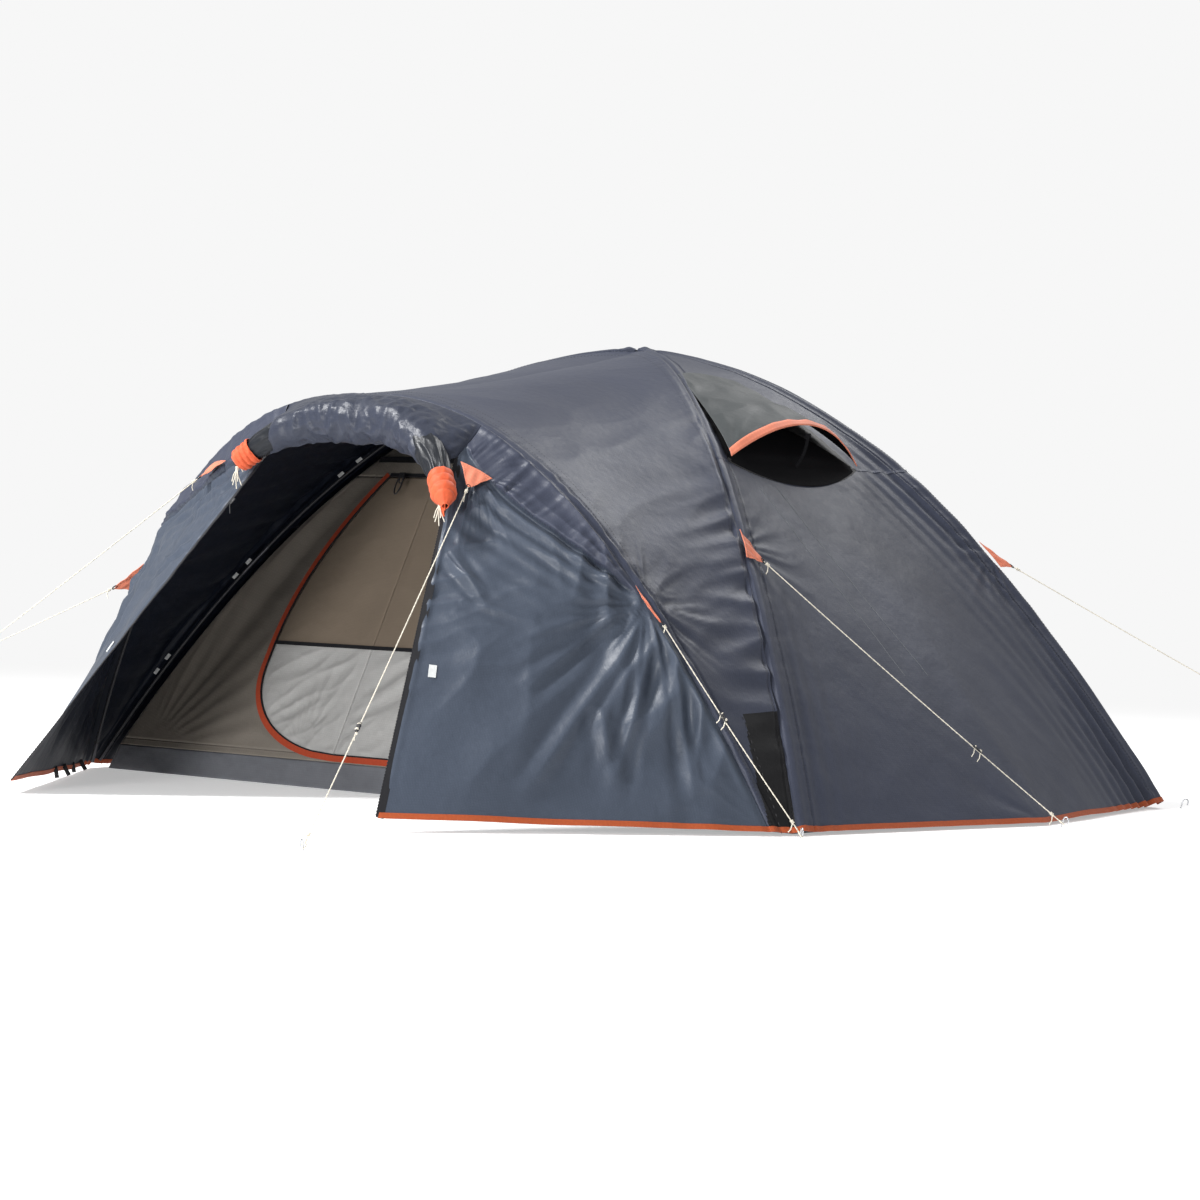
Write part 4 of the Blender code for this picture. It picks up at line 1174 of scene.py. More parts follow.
def build_cuff(side_name, side):
    """Ribbed orange cuff wound round an end of the roll, with a cord tassel."""
    count, sides = 44, 60
    before, after = (0.075, 0.095) if side > 0 else (0.055, 0.06)
    spots = [side * spot for spot in evenly(TIE_PLACE - before, TIE_PLACE + after, count)]
    places = []
    for row, (centre, cross, up) in enumerate(zip(*roll_frames(spots))):
        share = row / (count - 1)
        for step in range(sides):
            angle = 2 * pi * step / sides
            rib = 0.0052 * abs(sin(pi * 4 * share + 0.7 * sin(angle))) ** 0.5
            crease = 0.0014 * crumple(Vector((cos(angle), sin(angle), share * 2)), 1.8, side)
            radius = (0.0300 - 0.0020 * share + rib + crease) * roll_taper(spots[row])
            places.append(centre + (cross * cos(angle) + up * sin(angle)) * radius)
    grid = np.array(places).reshape(count, sides, 3)
    middle = grid.mean(axis=(0, 1))
    grid = np.concatenate([grid, grid[:, :1]], axis=1)
    fabric("roll_cuff_" + side_name, [(grid, 0)], [CORAL], thickness=0.0016,
           replaced="roll_tie_" + side_name, middle=middle)
    root = Vector(middle) + Vector((0.010 * side, -0.022, -0.034))
    strands = []
    for index in range(5):
        lean = Vector((0.009 * (index - 2), -0.006 * (index % 2), -0.036 - 0.010 * (index % 3)))
        bend = root + lean * 0.5 + Vector((0.004 * (index % 2), -0.004, 0))
        strands.append(tube(resampled([root, bend, root + lean], 0.004), 0.0014, 6))
    strands.append(coil(root, Vector((0, 0, 1)), 3, 0.004))
    solid_piece("cuff_cord_" + side_name, strands, CORD)
    if side > 0:
        build_cuff_tail()


def build_cuff_tail():
    """Frayed end of the right cuff's strap, hanging below it."""
    start = Vector(roll_point(0.985))
    tails = []
    for index in range(4):
        lean = Vector((0.006 * (index - 1.5), -0.003 * index, -0.030 - 0.008 * (index % 3)))
        middle = start + lean * 0.5 + Vector((0.005 * (index % 2), -0.006, 0.0))
        strip = resampled([start, middle, start + lean], 0.004)
        tails.append(ribbon(strip, Vector((0.5 - 0.3 * index, -0.9, 0.1)).normalized(), 0.011, 0.0012))
    solid_piece("cuff_tail_right", tails, CORAL)


# Side vents

def vent_matrix(side):
    """Frame on the line between a vent's corners: X down the slope, Y backwards, Z outwards."""
    half_width = HALF_DEPTH * VENT_REACH
    front = side_wall(side, VENT_REACH, (VENT_MIDDLE - VENT_HALF_WIDTH) / half_width)
    back = side_wall(side, VENT_REACH, (VENT_MIDDLE + VENT_HALF_WIDTH) / half_width)
    slope = side_wall(side, VENT_REACH + 0.02, 0) - side_wall(side, VENT_REACH - 0.02, 0)
    backwards = (back - front).normalized() * side
    outward = slope.cross(backwards).normalized()
    down = backwards.cross(outward)
    axes = Matrix((down, backwards, outward)).transposed().to_4x4()
    return Matrix.Translation((front + back) / 2) @ axes


def hood_lip(opened, share):
    """Point on the hood's lip, share from -1 at its front corner to 1 at its back corner."""
    reach = 0.003 + HOOD_DEPTH * (1 - share ** 2)
    return opened @ Vector((reach, (VENT_HALF_WIDTH - 0.006) * share, 0))


def hood_point(side, opened, share, down):
    """Hood fabric from its sewn line on the fly (down 0) to its lip (down 1)."""
    top_y = VENT_MIDDLE + 0.15 * share * side
    top_reach = VENT_REACH - 0.27 + 0.02 * share ** 2
    bend_y = VENT_MIDDLE + 0.30 * share * side
    bend_reach = VENT_REACH - 0.055 - 0.03 * (1 - share ** 2)
    start = side_wall(side, top_reach, top_y / (HALF_DEPTH * top_reach))
    bend = side_wall(side, bend_reach, bend_y / (HALF_DEPTH * bend_reach))
    outward = Vector((side, 0, 1)).normalized()
    start += outward * 0.002
    bend += outward * (0.008 + 0.055 * (1 - share ** 2))
    lip = hood_lip(opened, share)
    first = start.lerp(bend, down)
    second = bend.lerp(lip, down)
    return first.lerp(second, down) + outward * 0.014 * sin(pi * down) ** 0.8


def build_vent(side_name, side):
    """Side vent: hood, net and binding, without the prop."""
    matrix = vent_matrix(side)
    hinge = matrix @ Matrix.Translation((0, 0, HOOD_LIFT))
    opened = hinge @ Matrix.Rotation(-HOOD_OPEN_ANGLE, 4, "Y")
    build_hood(side_name, side, opened)
    build_vent_net(side_name, matrix)
    build_sill(side_name, side)


def build_hood(side_name, side, opened):
    """Hood with its orange lip tape, sewn to the fly above."""
    outward = Vector((side, 0, 1)).normalized()

    def place_at(u, v):
        return hood_point(side, opened, 2 * u - 1, v)

    def push(place, u, v):
        height = 0.0045 * crumple(place, 9.0, 5.0 * side) + 0.003 * soft_noise(place, 16.0, 2.0)
        for corner in (-1, 1):
            anchor = hood_lip(opened, corner)
            height += star_creases(place, outward, anchor, (-side, 0, 1), 16, 0.30, 0.005, 1.5)
        return height * pinned(u, 0.08) * smooth_step(0, 0.06, v) * smooth_step(0, 0.1, 1 - v)

    places, normals = wrinkled(place_at, 110, 80, push)
    inward = unit(places[-4] - places[-1])
    tape = [[places[-1] + inward * HOOD_TAPE_WIDTH * row + normals[-1] * lift for row in evenly(0, 1, 5)]
            for lift in (0.0006, -0.0010)]
    wrap = np.array(tape[0][::-1] + tape[1])
    middle = np.array(side_wall(side, VENT_REACH, 0)) - np.array((side * 0.3, 0, 0.3))
    # The hood's inner side takes the black net material, as painted shade under the hood
    made = fabric("vent_hood_fabric_" + side_name, [(places, 0), (wrap, 2)],
                  [FLY_HOOD, VENT_NET, CORAL_LIGHT, CORAL_LIGHT], body=None,
                  replaced="vent_hood_" + side_name, middle=middle)
    start = vent_matrix(side) @ Vector((-0.10, 0, 0.02))
    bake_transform(made)


def build_vent_net(side_name, matrix):
    """Black insect net in the window, carried up under the hood as painted shade."""
    def place_at(u, v):
        share = (2 * u - 1) * 0.985
        low = VENT_SILL_DEPTH * (1 - share ** 2)
        high = -HOOD_SHADE_NET_REACH * (1 - share ** 2)
        along = high + (low - high) * v
        lift = 0.008 * smooth_step(0, 0.03, -along) - 0.008 * smooth_step(0, 0.04, along)
        return matrix @ Vector((along, VENT_HALF_WIDTH * share, lift * (1 - share ** 2)))

    def push(place, u, v):
        return 0.002 * soft_noise(place, 12.0, 1.0) * pinned(u, 0.1) * pinned(v, 0.2)

    places, _ = wrinkled(place_at, 60, 24, push)
    fabric("vent_net_" + side_name, [(places, 0)], [VENT_NET],
           replaced="vent_mesh_" + side_name, thickness=0.0005)


def build_sill(side_name, side):
    """Narrow black binding round the window."""
    path = []
    for sign, depth in ((1, VENT_SILL_DEPTH), (-1, VENT_TOP_RISE)):
        for share in evenly(-0.99 * sign, 0.99 * sign, 40):
            reach = VENT_REACH + sign * depth / SLOPE_PER_REACH * (1 - share ** 2)
            y = VENT_MIDDLE + VENT_HALF_WIDTH * share
            path.append(side_wall(side, reach, y / (HALF_DEPTH * VENT_REACH)))
    outward = vent_matrix(side).to_3x3() @ Vector((0, 0, 1))
    sides = path_frames(path, outward, closed=True)
    profile = [(-0.005, -0.0014), (0.005, -0.0014), (0.005, 0.0012), (-0.005, 0.0012)]
    binding = sweep(path, sides, outward, profile, closed=True)
    solid_piece("vent_binding_" + side_name, [binding], BLACK_TAPE)


def build_vent_prop(side_name, side):
    """Stiff black strap with a pad at its head, under the hood's lip."""
    body = "vent_prop_" + side_name
    points = [vertex.co for vertex in frame["nodes"][body].data.vertices]
    head = Vector(max(points, key=lambda point: point.x * side))
    foot = Vector(min(points, key=lambda point: point.x * side))
    axis = (foot - head).normalized()
    across = Vector((0, 1, 0))
    up = axis.cross(across).normalized()
    path = []
    for share in evenly(0, 1, 14):
        path.append(head.lerp(foot, share) + (up * 0.002 + across * 0.010) * sin(pi * share))
    bar = ribbon(path, up, 0.013, 0.0024, -0.0012)
    pad = ribbon([head - axis * 0.002, head + axis * 0.006, head + axis * 0.014], up, 0.022, 0.005, -0.0025)
    solid_piece("vent_prop_strap_" + side_name, [bar, pad], VENT_NET, body=body,
                replaced=body)


# Guylines

def guy_anchors():
    """Each guyline: seam point, direction along the seam, and the peg it runs to."""
    anchors = {}
    for side_name, side in SIDES.items():
        down, outward = FRONT_TAB[side]
        seam = front_panel_point(side, down, outward)
        along = front_panel_point(side, down + 0.08, outward + 0.18) - seam
        anchors["front_" + side_name] = (seam, along, Vector((side * 0.9, -2.35, 0)))
        spot = PORCH_TAB_SPOT * side
        along = porch_arch(spot + 0.02 * side) - porch_arch(spot)
        peg = Vector((CORNER_PEG[0], -CORNER_PEG[1], 0)) if side > 0 else Vector((-1.85, -1.80, 0))
        anchors["porch_" + side_name] = (porch_arch(spot), along, peg)
        for name, y_sign, peg in (("middle_", -1, (1.50, 0)), ("back_", 1, (1.90, 1.60))):
            seam = leg(side, y_sign, LEG_TAB_REACH)
            along = leg(side, y_sign, LEG_TAB_REACH + 0.02) - seam
            anchors[name + side_name] = (seam, along, Vector((side * peg[0], peg[1], 0)))
    return anchors


def rope(path, turns_per_metre=60, spacing=0.0035):
    """Two-strand cord along a path."""
    spots = resampled(path, spacing)
    turns = turns_per_metre * np.linalg.norm(np.diff(spots, axis=0), axis=1).sum()

    def strand_radius(share, angle):
        return CORD_RADIUS * (1 + 0.16 * cos(2 * angle + turns * 2 * pi * share))

    return tube(spots, strand_radius, 8)


def coil(centre, direction, turns=3, radius=0.0032, pitch=0.0032):
    """Hitch of cord round a cord."""
    direction = Vector(direction).normalized()
    side = direction.orthogonal().normalized()
    other = direction.cross(side)
    path = []
    for step in range(turns * 12 + 1):
        angle = 2 * pi * step / 12
        along = pitch * (step / 12 - turns / 2)
        path.append(centre + direction * along + (side * cos(angle) + other * sin(angle)) * radius)
    tail = path[-1] + side * 0.012 - Vector((0, 0, 0.014))
    path += [path[-1].lerp(tail, 0.5) + direction * 0.003, tail]
    return tube(path, CORD_RADIUS * 0.9, 7)


def ring_path(centre, toward, up, radius, stretch=1.0, count=20):
    """Points round an oval that is stretched towards one direction."""
    toward, up = Vector(toward).normalized(), Vector(up).normalized()
    path = []
    for step in range(count):
        angle = 2 * pi * step / count
        path.append(centre + toward * (cos(angle) * radius * stretch) + up * (sin(angle) * radius))
    return path


def build_guyline(name, seam, along, peg_foot):
    """Guyline from its tab on a seam to a loop round its peg, with its runner."""
    peg_top = peg_foot + Vector((0, 0, PEG_GRIP))
    pull = (peg_top - seam).normalized()
    out = Vector((seam.x, seam.y + 0.2, 0.35)).normalized() * 0.008
    base = seam + out
    tip = base + pull * TAB_LENGTH + out / 2
    direction = (peg_top - tip).normalized()
    build_tab(name, base, along.normalized(), tip, direction)
    start = tip + direction * 0.004
    end = peg_top - direction * 0.006
    path = []
    for share in evenly(0, 1, 40):
        path.append(start.lerp(end, share) - Vector((0, 0, 0.006 * sin(pi * share))))
    side = direction.cross(Vector((0, 0, 1))).normalized()
    peg_loop = ring_path(peg_top + direction * 0.001, direction, side, 0.006, 1.6)
    parts = [
        rope(path),
        tube(peg_loop, CORD_RADIUS, 8, closed=True),
        coil(start.lerp(end, 0.012), direction),
        coil(end - direction * 0.03, direction),
    ]
    solid_piece("guyline_cord_" + name, parts, CORD, replaced="guyline_" + name)
    build_runner(name, start.lerp(end, RUNNER_SHARE[name.split("_")[0]]), direction)


def build_tab(name, base, along, tip, direction):
    """Three-cornered tab, sewn along the seam, with a hemmed edge and a cord loop at its tip."""
    middle = np.array(base) - np.array((base.x, base.y + 0.2, 0.35)) * 0.3
    normal = along.cross(tip - base).normalized()
    if normal.dot(base - Vector(TENT_MIDDLE)) < 0:
        normal = -normal
    base = base + normal * 0.004

    def place_at(u, v):
        half = 0.050 * (1 - v) + 0.006 * v
        curl = 0.004 * sin(pi * u) * (1 - v)
        return base.lerp(tip, v) + along * (2 * u - 1) * half * (1 - 0.06 * sin(pi * v)) + normal * curl

    def push(place, u, v):
        offset = (2 * u - 1) * (1 - v)
        return 0.0022 * cos(offset * 11 + 0.6) * v * (1 - v) * 3 + 0.0008 * crumple(place, 30.0, 2.0)

    places, normals = wrinkled(place_at, 36, 34, push, edges=0.0, middle=middle)
    fabric("tab_fabric_" + name, [(places, 0)], [CORAL_LIGHT], thickness=0.0014,
           replaced="guy_tab_" + name, middle=middle)
    threads = []
    for column in (3, -4):
        threads += stitches(places[:, column], normals[:, column], length=0.0035, gap=0.0022)
    threads += stitches(places[3], normals[3], length=0.0035, gap=0.0022)
    solid_piece("tab_thread_" + name, threads, THREAD)
    loop = ring_path(tip + direction * 0.001, direction, along, 0.0055, 1.3)
    solid_piece("tab_loop_" + name, [tube(loop, 0.0017, 8, closed=True)], BLACK_TAPE)


def build_runner(name, place, direction):
    """Flat line runner: a rounded bar with a raised rib at each end and a hitch of cord."""
    side = direction.cross(Vector((0, 0, 1))).normalized()
    up = side.cross(direction).normalized()
    path, widths = [], []
    for share in evenly(0, 1, 24):
        path.append(place + direction * (share - 0.5) * 0.030 + up * -0.0008)
        widths.append(0.0042 + 0.0026 * sin(pi * share) ** 0.5 - 0.0010 * sin(3 * pi * share) ** 2)
    angles = [2 * pi * step / 16 for step in range(16)]
    outline = [(cos(angle), max(-0.8, min(0.8, 1.3 * sin(angle)))) for angle in angles]
    body = "runner_" + name
    bar = tapered_bar(path, widths, side, up, outline, 0.0034)
    solid_piece("runner_body_" + name, [bar], PLASTIC, body=body, replaced=body)
    hitch = [coil(place + direction * 0.009, direction, 2, 0.0038),
             coil(place - direction * 0.010, direction, 1, 0.0038)]
    solid_piece("runner_hitch_" + name, hitch, CORD, body=body)


def joint_named(name):
    return next(joint for joint in frame["joints"] if joint["name"] == name)


def build_peg(name):
    """Wire peg with a hooked head: it stands along its pull axis, and its hook points as the CAD's does."""
    axis = Vector(joint_named(name + "_pull")["axis"]).normalized()
    points = [Vector(vertex.co) for vertex in frame["nodes"][name].data.vertices]
    bottom = min(point.dot(axis) for point in points)
    foot_ring = [point for point in points if point.dot(axis) - bottom < 0.001]
    foot = sum(foot_ring, Vector()) / len(foot_ring)

    def off_axis(point):
        return point - foot - axis * (point - foot).dot(axis)

    aside = max((off_axis(point) for point in points), key=lambda offset: offset.length).normalized()
    ground = foot + axis * PEG_DEPTH
    path = [foot.lerp(ground, share) for share in evenly(0, 1, 8)] + [ground + axis * PEG_NECK]
    for step in range(1, 15):
        angle = pi - pi * step / 14
        path.append(ground + axis * (PEG_NECK + PEG_HOOK * sin(angle)) + aside * PEG_HOOK * (1 + cos(angle)))
    path.append(ground + axis * (PEG_NECK - 0.008) + aside * PEG_HOOK * 2)
    shaft = tube(path, lambda share, angle: 0.002 * min(1.0, 0.25 + share * 12), 12)
    solid_piece("peg_wire_" + name[4:], [shaft], STEEL, body=name, replaced=name)


# Poles

def build_pole(name, point_at, node):
    """Rod through the points of spots from -1 to 1, with its ferrules and end caps."""
    count = 260
    path = [point_at(spot) for spot in evenly(-0.995, 0.995, count)]
    rod = tube(path, POLE_RADIUS * 0.96, 12)
    solid_piece(name + "_rod", [rod], FIBREGLASS, replaced=node)
    ferrules = []
    for joint in range(1, POLE_SECTIONS):
        middle = joint / POLE_SECTIONS
        span = [point for index, point in enumerate(path) if abs(index / (count - 1) - middle) < 0.013]
        ferrules.append(tube(span, 0.0058, 14))
    for ends in (path[:4], path[-4:]):
        ferrules.append(tube(ends, 0.0056, 12))
    solid_piece(name + "_ferrules", ferrules, FERRULE)


def main_pole_point(y_sign, drop):
    """Places on a main pole, which runs from a front foot to the back foot across from it."""
    def point_at(spot):
        point = leg(1, y_sign, abs(spot), POLE_INSET, drop)
        return Vector((-point.x, -point.y, point.z)) if spot < 0 else point
    return point_at


def porch_pole_point(spot):
    return porch_arch(spot, POLE_INSET) + Vector((0, POLE_INSET / 2, 0))


def build_poles():
    build_pole("pole_over", main_pole_point(1, 0), "main_pole_over")
    build_pole("pole_under", main_pole_point(-1, POLE_CROSSING), "main_pole_under")
    build_pole("pole_porch", porch_pole_point, "porch_pole")


# Inner tent

def inner_slope():
    """Foot and top of the inner tent's flat front wall, in its middle."""
    foot = leg(1, -1, reach_at(TUB_HEIGHT, INNER_INSET), INNER_INSET)
    top = leg(1, -1, reach_at(SEAM_HEIGHT, INNER_INSET), INNER_INSET)
    return Vector((0, foot.y, foot.z)), Vector((0, top.y, top.z))


def front_wall_y(x, height):
    """Depth of the inner front wall: flat in the middle, curving back to the poles at its edges."""
    reach = reach_at(height, INNER_INSET)
    edge = leg(1, -1, reach, INNER_INSET)
    foot, top = inner_slope()
    flat_y = foot.y + (top.y - foot.y) * (height - foot.z) / (top.z - foot.z)
    flatness = smooth_step(0, 0.12, 1 - abs(x) / max(edge.x, 0.001))
    return edge.y + flatness * max(0.0, flat_y - edge.y)


def front_place(x, height):
    return Vector((x, front_wall_y(x, height), height))


def door_edge(height):
    """Free edge of the D-shaped doorway: upright, leaning in at the top and rounded at the foot."""
    share = (height - DOOR_BOTTOM) / (DOOR_TOP - DOOR_BOTTOM)
    narrowing = 0.65 * max(0.0, share - 0.35) ** 2
    below_corner = max(0.0, 1 - share / 0.30)
    rounding = 1 - sqrt(max(0.0, 1 - below_corner ** 2.2))
    return DOOR_FREE_X * (1 - narrowing) * (1 - 0.52 * rounding)


def wall_edge(height):
    return leg(1, -1, reach_at(height, INNER_INSET), INNER_INSET).x


def inner_wrinkle(place, strength=1.0):
    """Slack inner fabric, with folds that fan out from the left foot of the front wall."""
    height = 0.005 * soft_noise(Vector((place.x, place.y, place.z * 0.6)), 5.0, 4.0)
    height += 0.0022 * crumple(place, 7.0, 6.0)
    fan = sin(34 * atan2(place.z - 0.05, place.x + 1.101))
    beyond = place.x + 1.2
    height += 0.004 * fan * smooth_step(0, 0.25, beyond) * exp(-beyond / 0.6)
    return height * strength


def front_grid(left, right, low, high, columns, rows, strength):
    """Part of the inner front wall between two x edges (functions of height)."""
    def place_at(u, v):
        height = high + (low - high) * v
        x = left(height) + (right(height) - left(height)) * u
        return front_place(x, height)

    def push(place, u, v):
        calm_u = smooth_step(0.05, 0.14, u) * smooth_step(0.05, 0.14, 1 - u)
        return inner_wrinkle(place, strength) * calm_u * pinned(v, 0.05)

    return wrinkled(place_at, columns, rows, push, edges=0.0, middle=INNER_MIDDLE)[0]


def build_inner_tent():
    """Inner canopy: the front wall in four parts round the doorway, the two side walls and the back wall."""
    def left_edge(height):
        return -wall_edge(height)

    def hinge_edge(height):
        return DOOR_HINGE_X

    def push(place, u, v):
        return inner_wrinkle(place) * pinned(u, 0.05) * pinned(v, 0.05)

    top, foot = HEIGHT - INNER_INSET - 0.004, TUB_HEIGHT + 0.001
    grids = [(front_grid(*part), 0) for part in (
        (left_edge, door_edge, DOOR_BOTTOM, DOOR_TOP, 70, 110, 1.0),
        (hinge_edge, wall_edge, DOOR_BOTTOM, DOOR_TOP, 80, 110, 1.0),
        (left_edge, wall_edge, foot, DOOR_BOTTOM, 200, 6, 0.15),
        (left_edge, wall_edge, DOOR_TOP, top, 140, 50, 0.4),
    )]
    foot_reach = reach_at(foot, INNER_INSET)
    for wall in (partial(side_wall, 1), partial(side_wall, -1), back_wall):
        def place_at(u, v):
            return wall(0.06 + (foot_reach - 0.06) * v, 2 * u - 1, INNER_INSET, 0)

        grids.append((wrinkled(place_at, 90, 90, push)[0], 0))
    fabric("inner_tent_fabric", grids, [INNER], replaced="inner_canopy",
           middle=np.array((0.0, 0.0, 0.3)))


def front_normal():
    """Outward normal of the inner tent's flat front wall."""
    foot, top = inner_slope()
    return Vector((1, 0, 0)).cross(top - foot).normalized()


def front_tape(name, points, width, thickness, lift, material, body="root"):
    """Tape on the inner front wall along (x, height) points."""
    path = [front_place(x, height) for x, height in points]
    solid_piece(name, [ribbon(path, front_normal(), width, thickness, lift)], material, body=body)


def build_inner_seams():
    """Seams and bindings of the inner front wall, and the tape and coil of the door's zip."""
    top_edge = wall_edge(SEAM_HEIGHT) - 0.01
    seam = [(x, SEAM_HEIGHT) for x in evenly(-top_edge, top_edge, 60)]
    front_tape("inner_top_seam", seam, 0.020, 0.0012, 0.0035, BLACK_TAPE)
    edge = [(door_edge(height), height, 0) for height in evenly(DOOR_TOP, DOOR_BOTTOM, 150)]
    edge += [(x, DOOR_BOTTOM, 0) for x in evenly(edge[-1][0] + 0.01, DOOR_HINGE_X, 60)]
    edge = resampled(edge, 0.008)
    along = directions(edge)
    outward = np.stack([along[:, 1], -along[:, 0]], axis=1)
    tape, coil_line = edge[:, :2] + 0.009 * outward, edge[:, :2] - 0.0005 * outward
    front_tape("inner_door_zip_tape", tape, 0.019, 0.0014, 0.0030, ZIP_TAPE)
    front_tape("inner_door_zip_coil", coil_line, 0.0045, 0.0026, 0.0028, BLACK_TAPE)
    top = [(x, DOOR_TOP + 0.004) for x in evenly(door_edge(DOOR_TOP), DOOR_HINGE_X, 50)]
    front_tape("inner_door_top_binding", top, 0.012, 0.0012, 0.0030, BLACK_TAPE)
    hinge = [(DOOR_HINGE_X + 0.008, height) for height in evenly(DOOR_TOP + 0.010, DOOR_BOTTOM - 0.010, 50)]
    front_tape("inner_door_hinge_binding", hinge, 0.013, 0.0012, 0.0030, BLACK_TAPE)


def door_wrinkle(place, is_nylon):
    """Slack door fabric; the nylon below also has folds from its lower corner."""
    height = 0.0035 * soft_noise(place, 6.0, 3.0) + 0.0015 * crumple(place, 9.0, 2.0)
    if is_nylon:
        corner = Vector((-0.50, place.y, 0.11))
        height += star_creases(place, front_normal(), corner, (1, 0, 0.9), 24, 0.60, 0.0025, 0.8)
        height += 0.0035 * sharp_folds(place, Vector((0.8, 0, 0.6)), 0.35, 0.05, 5.0)
        height += 0.002 * crumple(place, 16.0, 5.0) * smooth_step(0, 0.15, 0.30 - place.z)
    return height


def build_door():
    """Inner door in three strips: insect mesh above, nylon below, joined by a black seam."""
    width = (DOOR_HINGE_X - DOOR_FREE_X) / len(DOOR_STRIPS)
    for index, body in enumerate(DOOR_STRIPS):
        high_x = DOOR_HINGE_X - width * index - DOOR_FOLD_GAP
        is_last = index == len(DOOR_STRIPS) - 1
        low_x = DOOR_FREE_X if is_last else DOOR_HINGE_X - width * (index + 1) + DOOR_FOLD_GAP
        build_door_strip(body, low_x, high_x)


def build_door_strip(body, low_x, high_x):
    """One strip of the door, cut off by the doorway's free edge."""
    def left(height):
        return min(high_x - 0.0005, max(low_x, door_edge(height) + DOOR_ZIP_GAP))

    grids = []
    for low, high, rows, is_nylon in ((DOOR_SEAM, DOOR_TOP - DOOR_ZIP_GAP, 110, False),
                                      (DOOR_BOTTOM + DOOR_ZIP_GAP, DOOR_SEAM, 80, True)):
        def place_at(u, v):
            height = high + (low - high) * v
            return front_place(left(height) + (high_x - left(height)) * u, height)

        def push(place, u, v):
            return door_wrinkle(place, is_nylon) * pinned(u, 0.10) * pinned(v, 0.05)

        places, _ = wrinkled(place_at, 60, rows, push, edges=0.0, middle=INNER_MIDDLE)
        grids.append((places, 1 if is_nylon else 0))
    strip = body.removeprefix("inner_door_")
    fabric("door_fabric_" + strip, grids, [DOOR_MESH, DOOR_NYLON], body=body,
           replaced=body, thickness=0.0007, middle=INNER_MIDDLE, lined=False)
    seam = [(x, DOOR_SEAM) for x in evenly(left(DOOR_SEAM), high_x, 20)]
    front_tape("door_seam_" + strip, seam, 0.012, 0.0012, 0.0008, BLACK_TAPE, body)


def build_tub():
    """Coated floor with a raised rim."""
    rim = leg(1, 1, reach_at(TUB_HEIGHT, INNER_INSET), INNER_INSET)
    foot_x = HALF_WIDTH - INNER_INSET * 0.8
    foot_y = HALF_DEPTH - INNER_INSET * 0.8
    corners = [(1, -1), (1, 1), (-1, 1), (-1, -1)]
    grids = []
    for (x_sign, y_sign), (next_x, next_y) in zip(corners, corners[1:] + corners[:1]):
        foot_start = Vector((x_sign * foot_x, y_sign * foot_y, CLOTH))
        foot_end = Vector((next_x * foot_x, next_y * foot_y, CLOTH))
        rim_start = Vector((x_sign * rim.x, y_sign * rim.y, TUB_HEIGHT))
        rim_end = Vector((next_x * rim.x, next_y * rim.y, TUB_HEIGHT))

        def place_at(u, v):
            return rim_start.lerp(rim_end, u).lerp(foot_start.lerp(foot_end, u), v)

        def push(place, u, v):
            height = 0.004 * soft_noise(place, 9.0, 2.0) + 0.002 * crumple(place, 14.0, 3.0)
            return height * pinned(u, 0.02) * smooth_step(0, 0.1, 1 - v) * smooth_step(0, 0.15, v)

        grids.append((wrinkled(place_at, 200, 14, push, edges=0.0)[0], 0))

    def floor_at(u, v):
        return Vector(((2 * u - 1) * foot_x, (2 * v - 1) * foot_y, CLOTH))

    def sink(place, u, v):
        return -0.003 * max(0.0, soft_noise(place, 3.0, 1.0)) * pinned(u, 0.05) * pinned(v, 0.05)

    grids.append((wrinkled(floor_at, 120, 90, sink, edges=0.0)[0], 0))
    fabric("tub_fabric", grids, [TUB], replaced="bathtub_floor")


def build_hook():
    """Black webbing loop with a small snap hook, hung in front of the door's top edge."""
    low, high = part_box("hanging_hook")
    top = Vector(((low.x + high.x) / 2, (low.y + high.y) / 2, high.z - 0.002))
    foot, ridge = inner_slope()
    down = (foot - ridge).normalized()
    across = Vector((1, 0, 0))
    loop, snap = [], []
    for step in range(32):
        angle = 2 * pi * step / 32
        loop.append(top + across * 0.0105 * cos(angle) + down * 0.032 * (1 - sin(angle)))
    for step in range(22):
        angle = pi / 2 - 2 * pi * 0.80 * step / 21
        snap.append(top + across * (0.004 + 0.008 * cos(angle)) + down * (0.016 - 0.012 * sin(angle)))
    strap = [top - down * 0.008, top, top + down * 0.010]
    parts = [tube(loop, 0.0022, 8, closed=True), tube(snap, 0.0020, 8),
             ribbon(strap, Vector((0, -1, 0)), 0.020, 0.003)]
    solid_piece("hook_and_strap", parts, PLASTIC, body="hanging_hook",
                replaced="hanging_hook")


def build_pole_ties():
    """Pairs of pale touch-and-close ties on the fly's inner side, that hold it to the left front pole."""
    for index, height in enumerate((0.93, 0.62, 0.33)):
        for place, offset in (("lower", -0.022), ("upper", 0.022)):
            reach = reach_at(height + offset, POLE_INSET)
            centre = leg(-1, -1, reach, 0.012) + Vector((0.012, -0.035, -0.012))
            along = leg(-1, -1, reach + 0.02) - leg(-1, -1, reach)
            name = "pole_tie_%d_%s" % (index + 1, place)
            build_patch(name, centre, along, (0.75, -0.6, -0.25), 0.020, 0.010)


def build_hem_straps():
    """Short black straps that hang from the hem beside the porch pole's left foot."""
    for index, outward in enumerate((0.55, 0.68, 0.80, 0.93)):
        start = front_panel_point(-1, 0.99, outward)
        end = start + Vector((0.012 * (index % 2), 0.01, 0.004 - start.z))
        path = resampled([start, start + Vector((0.004, 0.0, -0.008)), end], 0.006)
        strap = ribbon(path, Vector((0.7, -0.7, 0.1)).normalized(), 0.012, 0.0014)
        solid_piece("hem_strap_%d" % (index + 1), [strap], BLACK_TAPE)


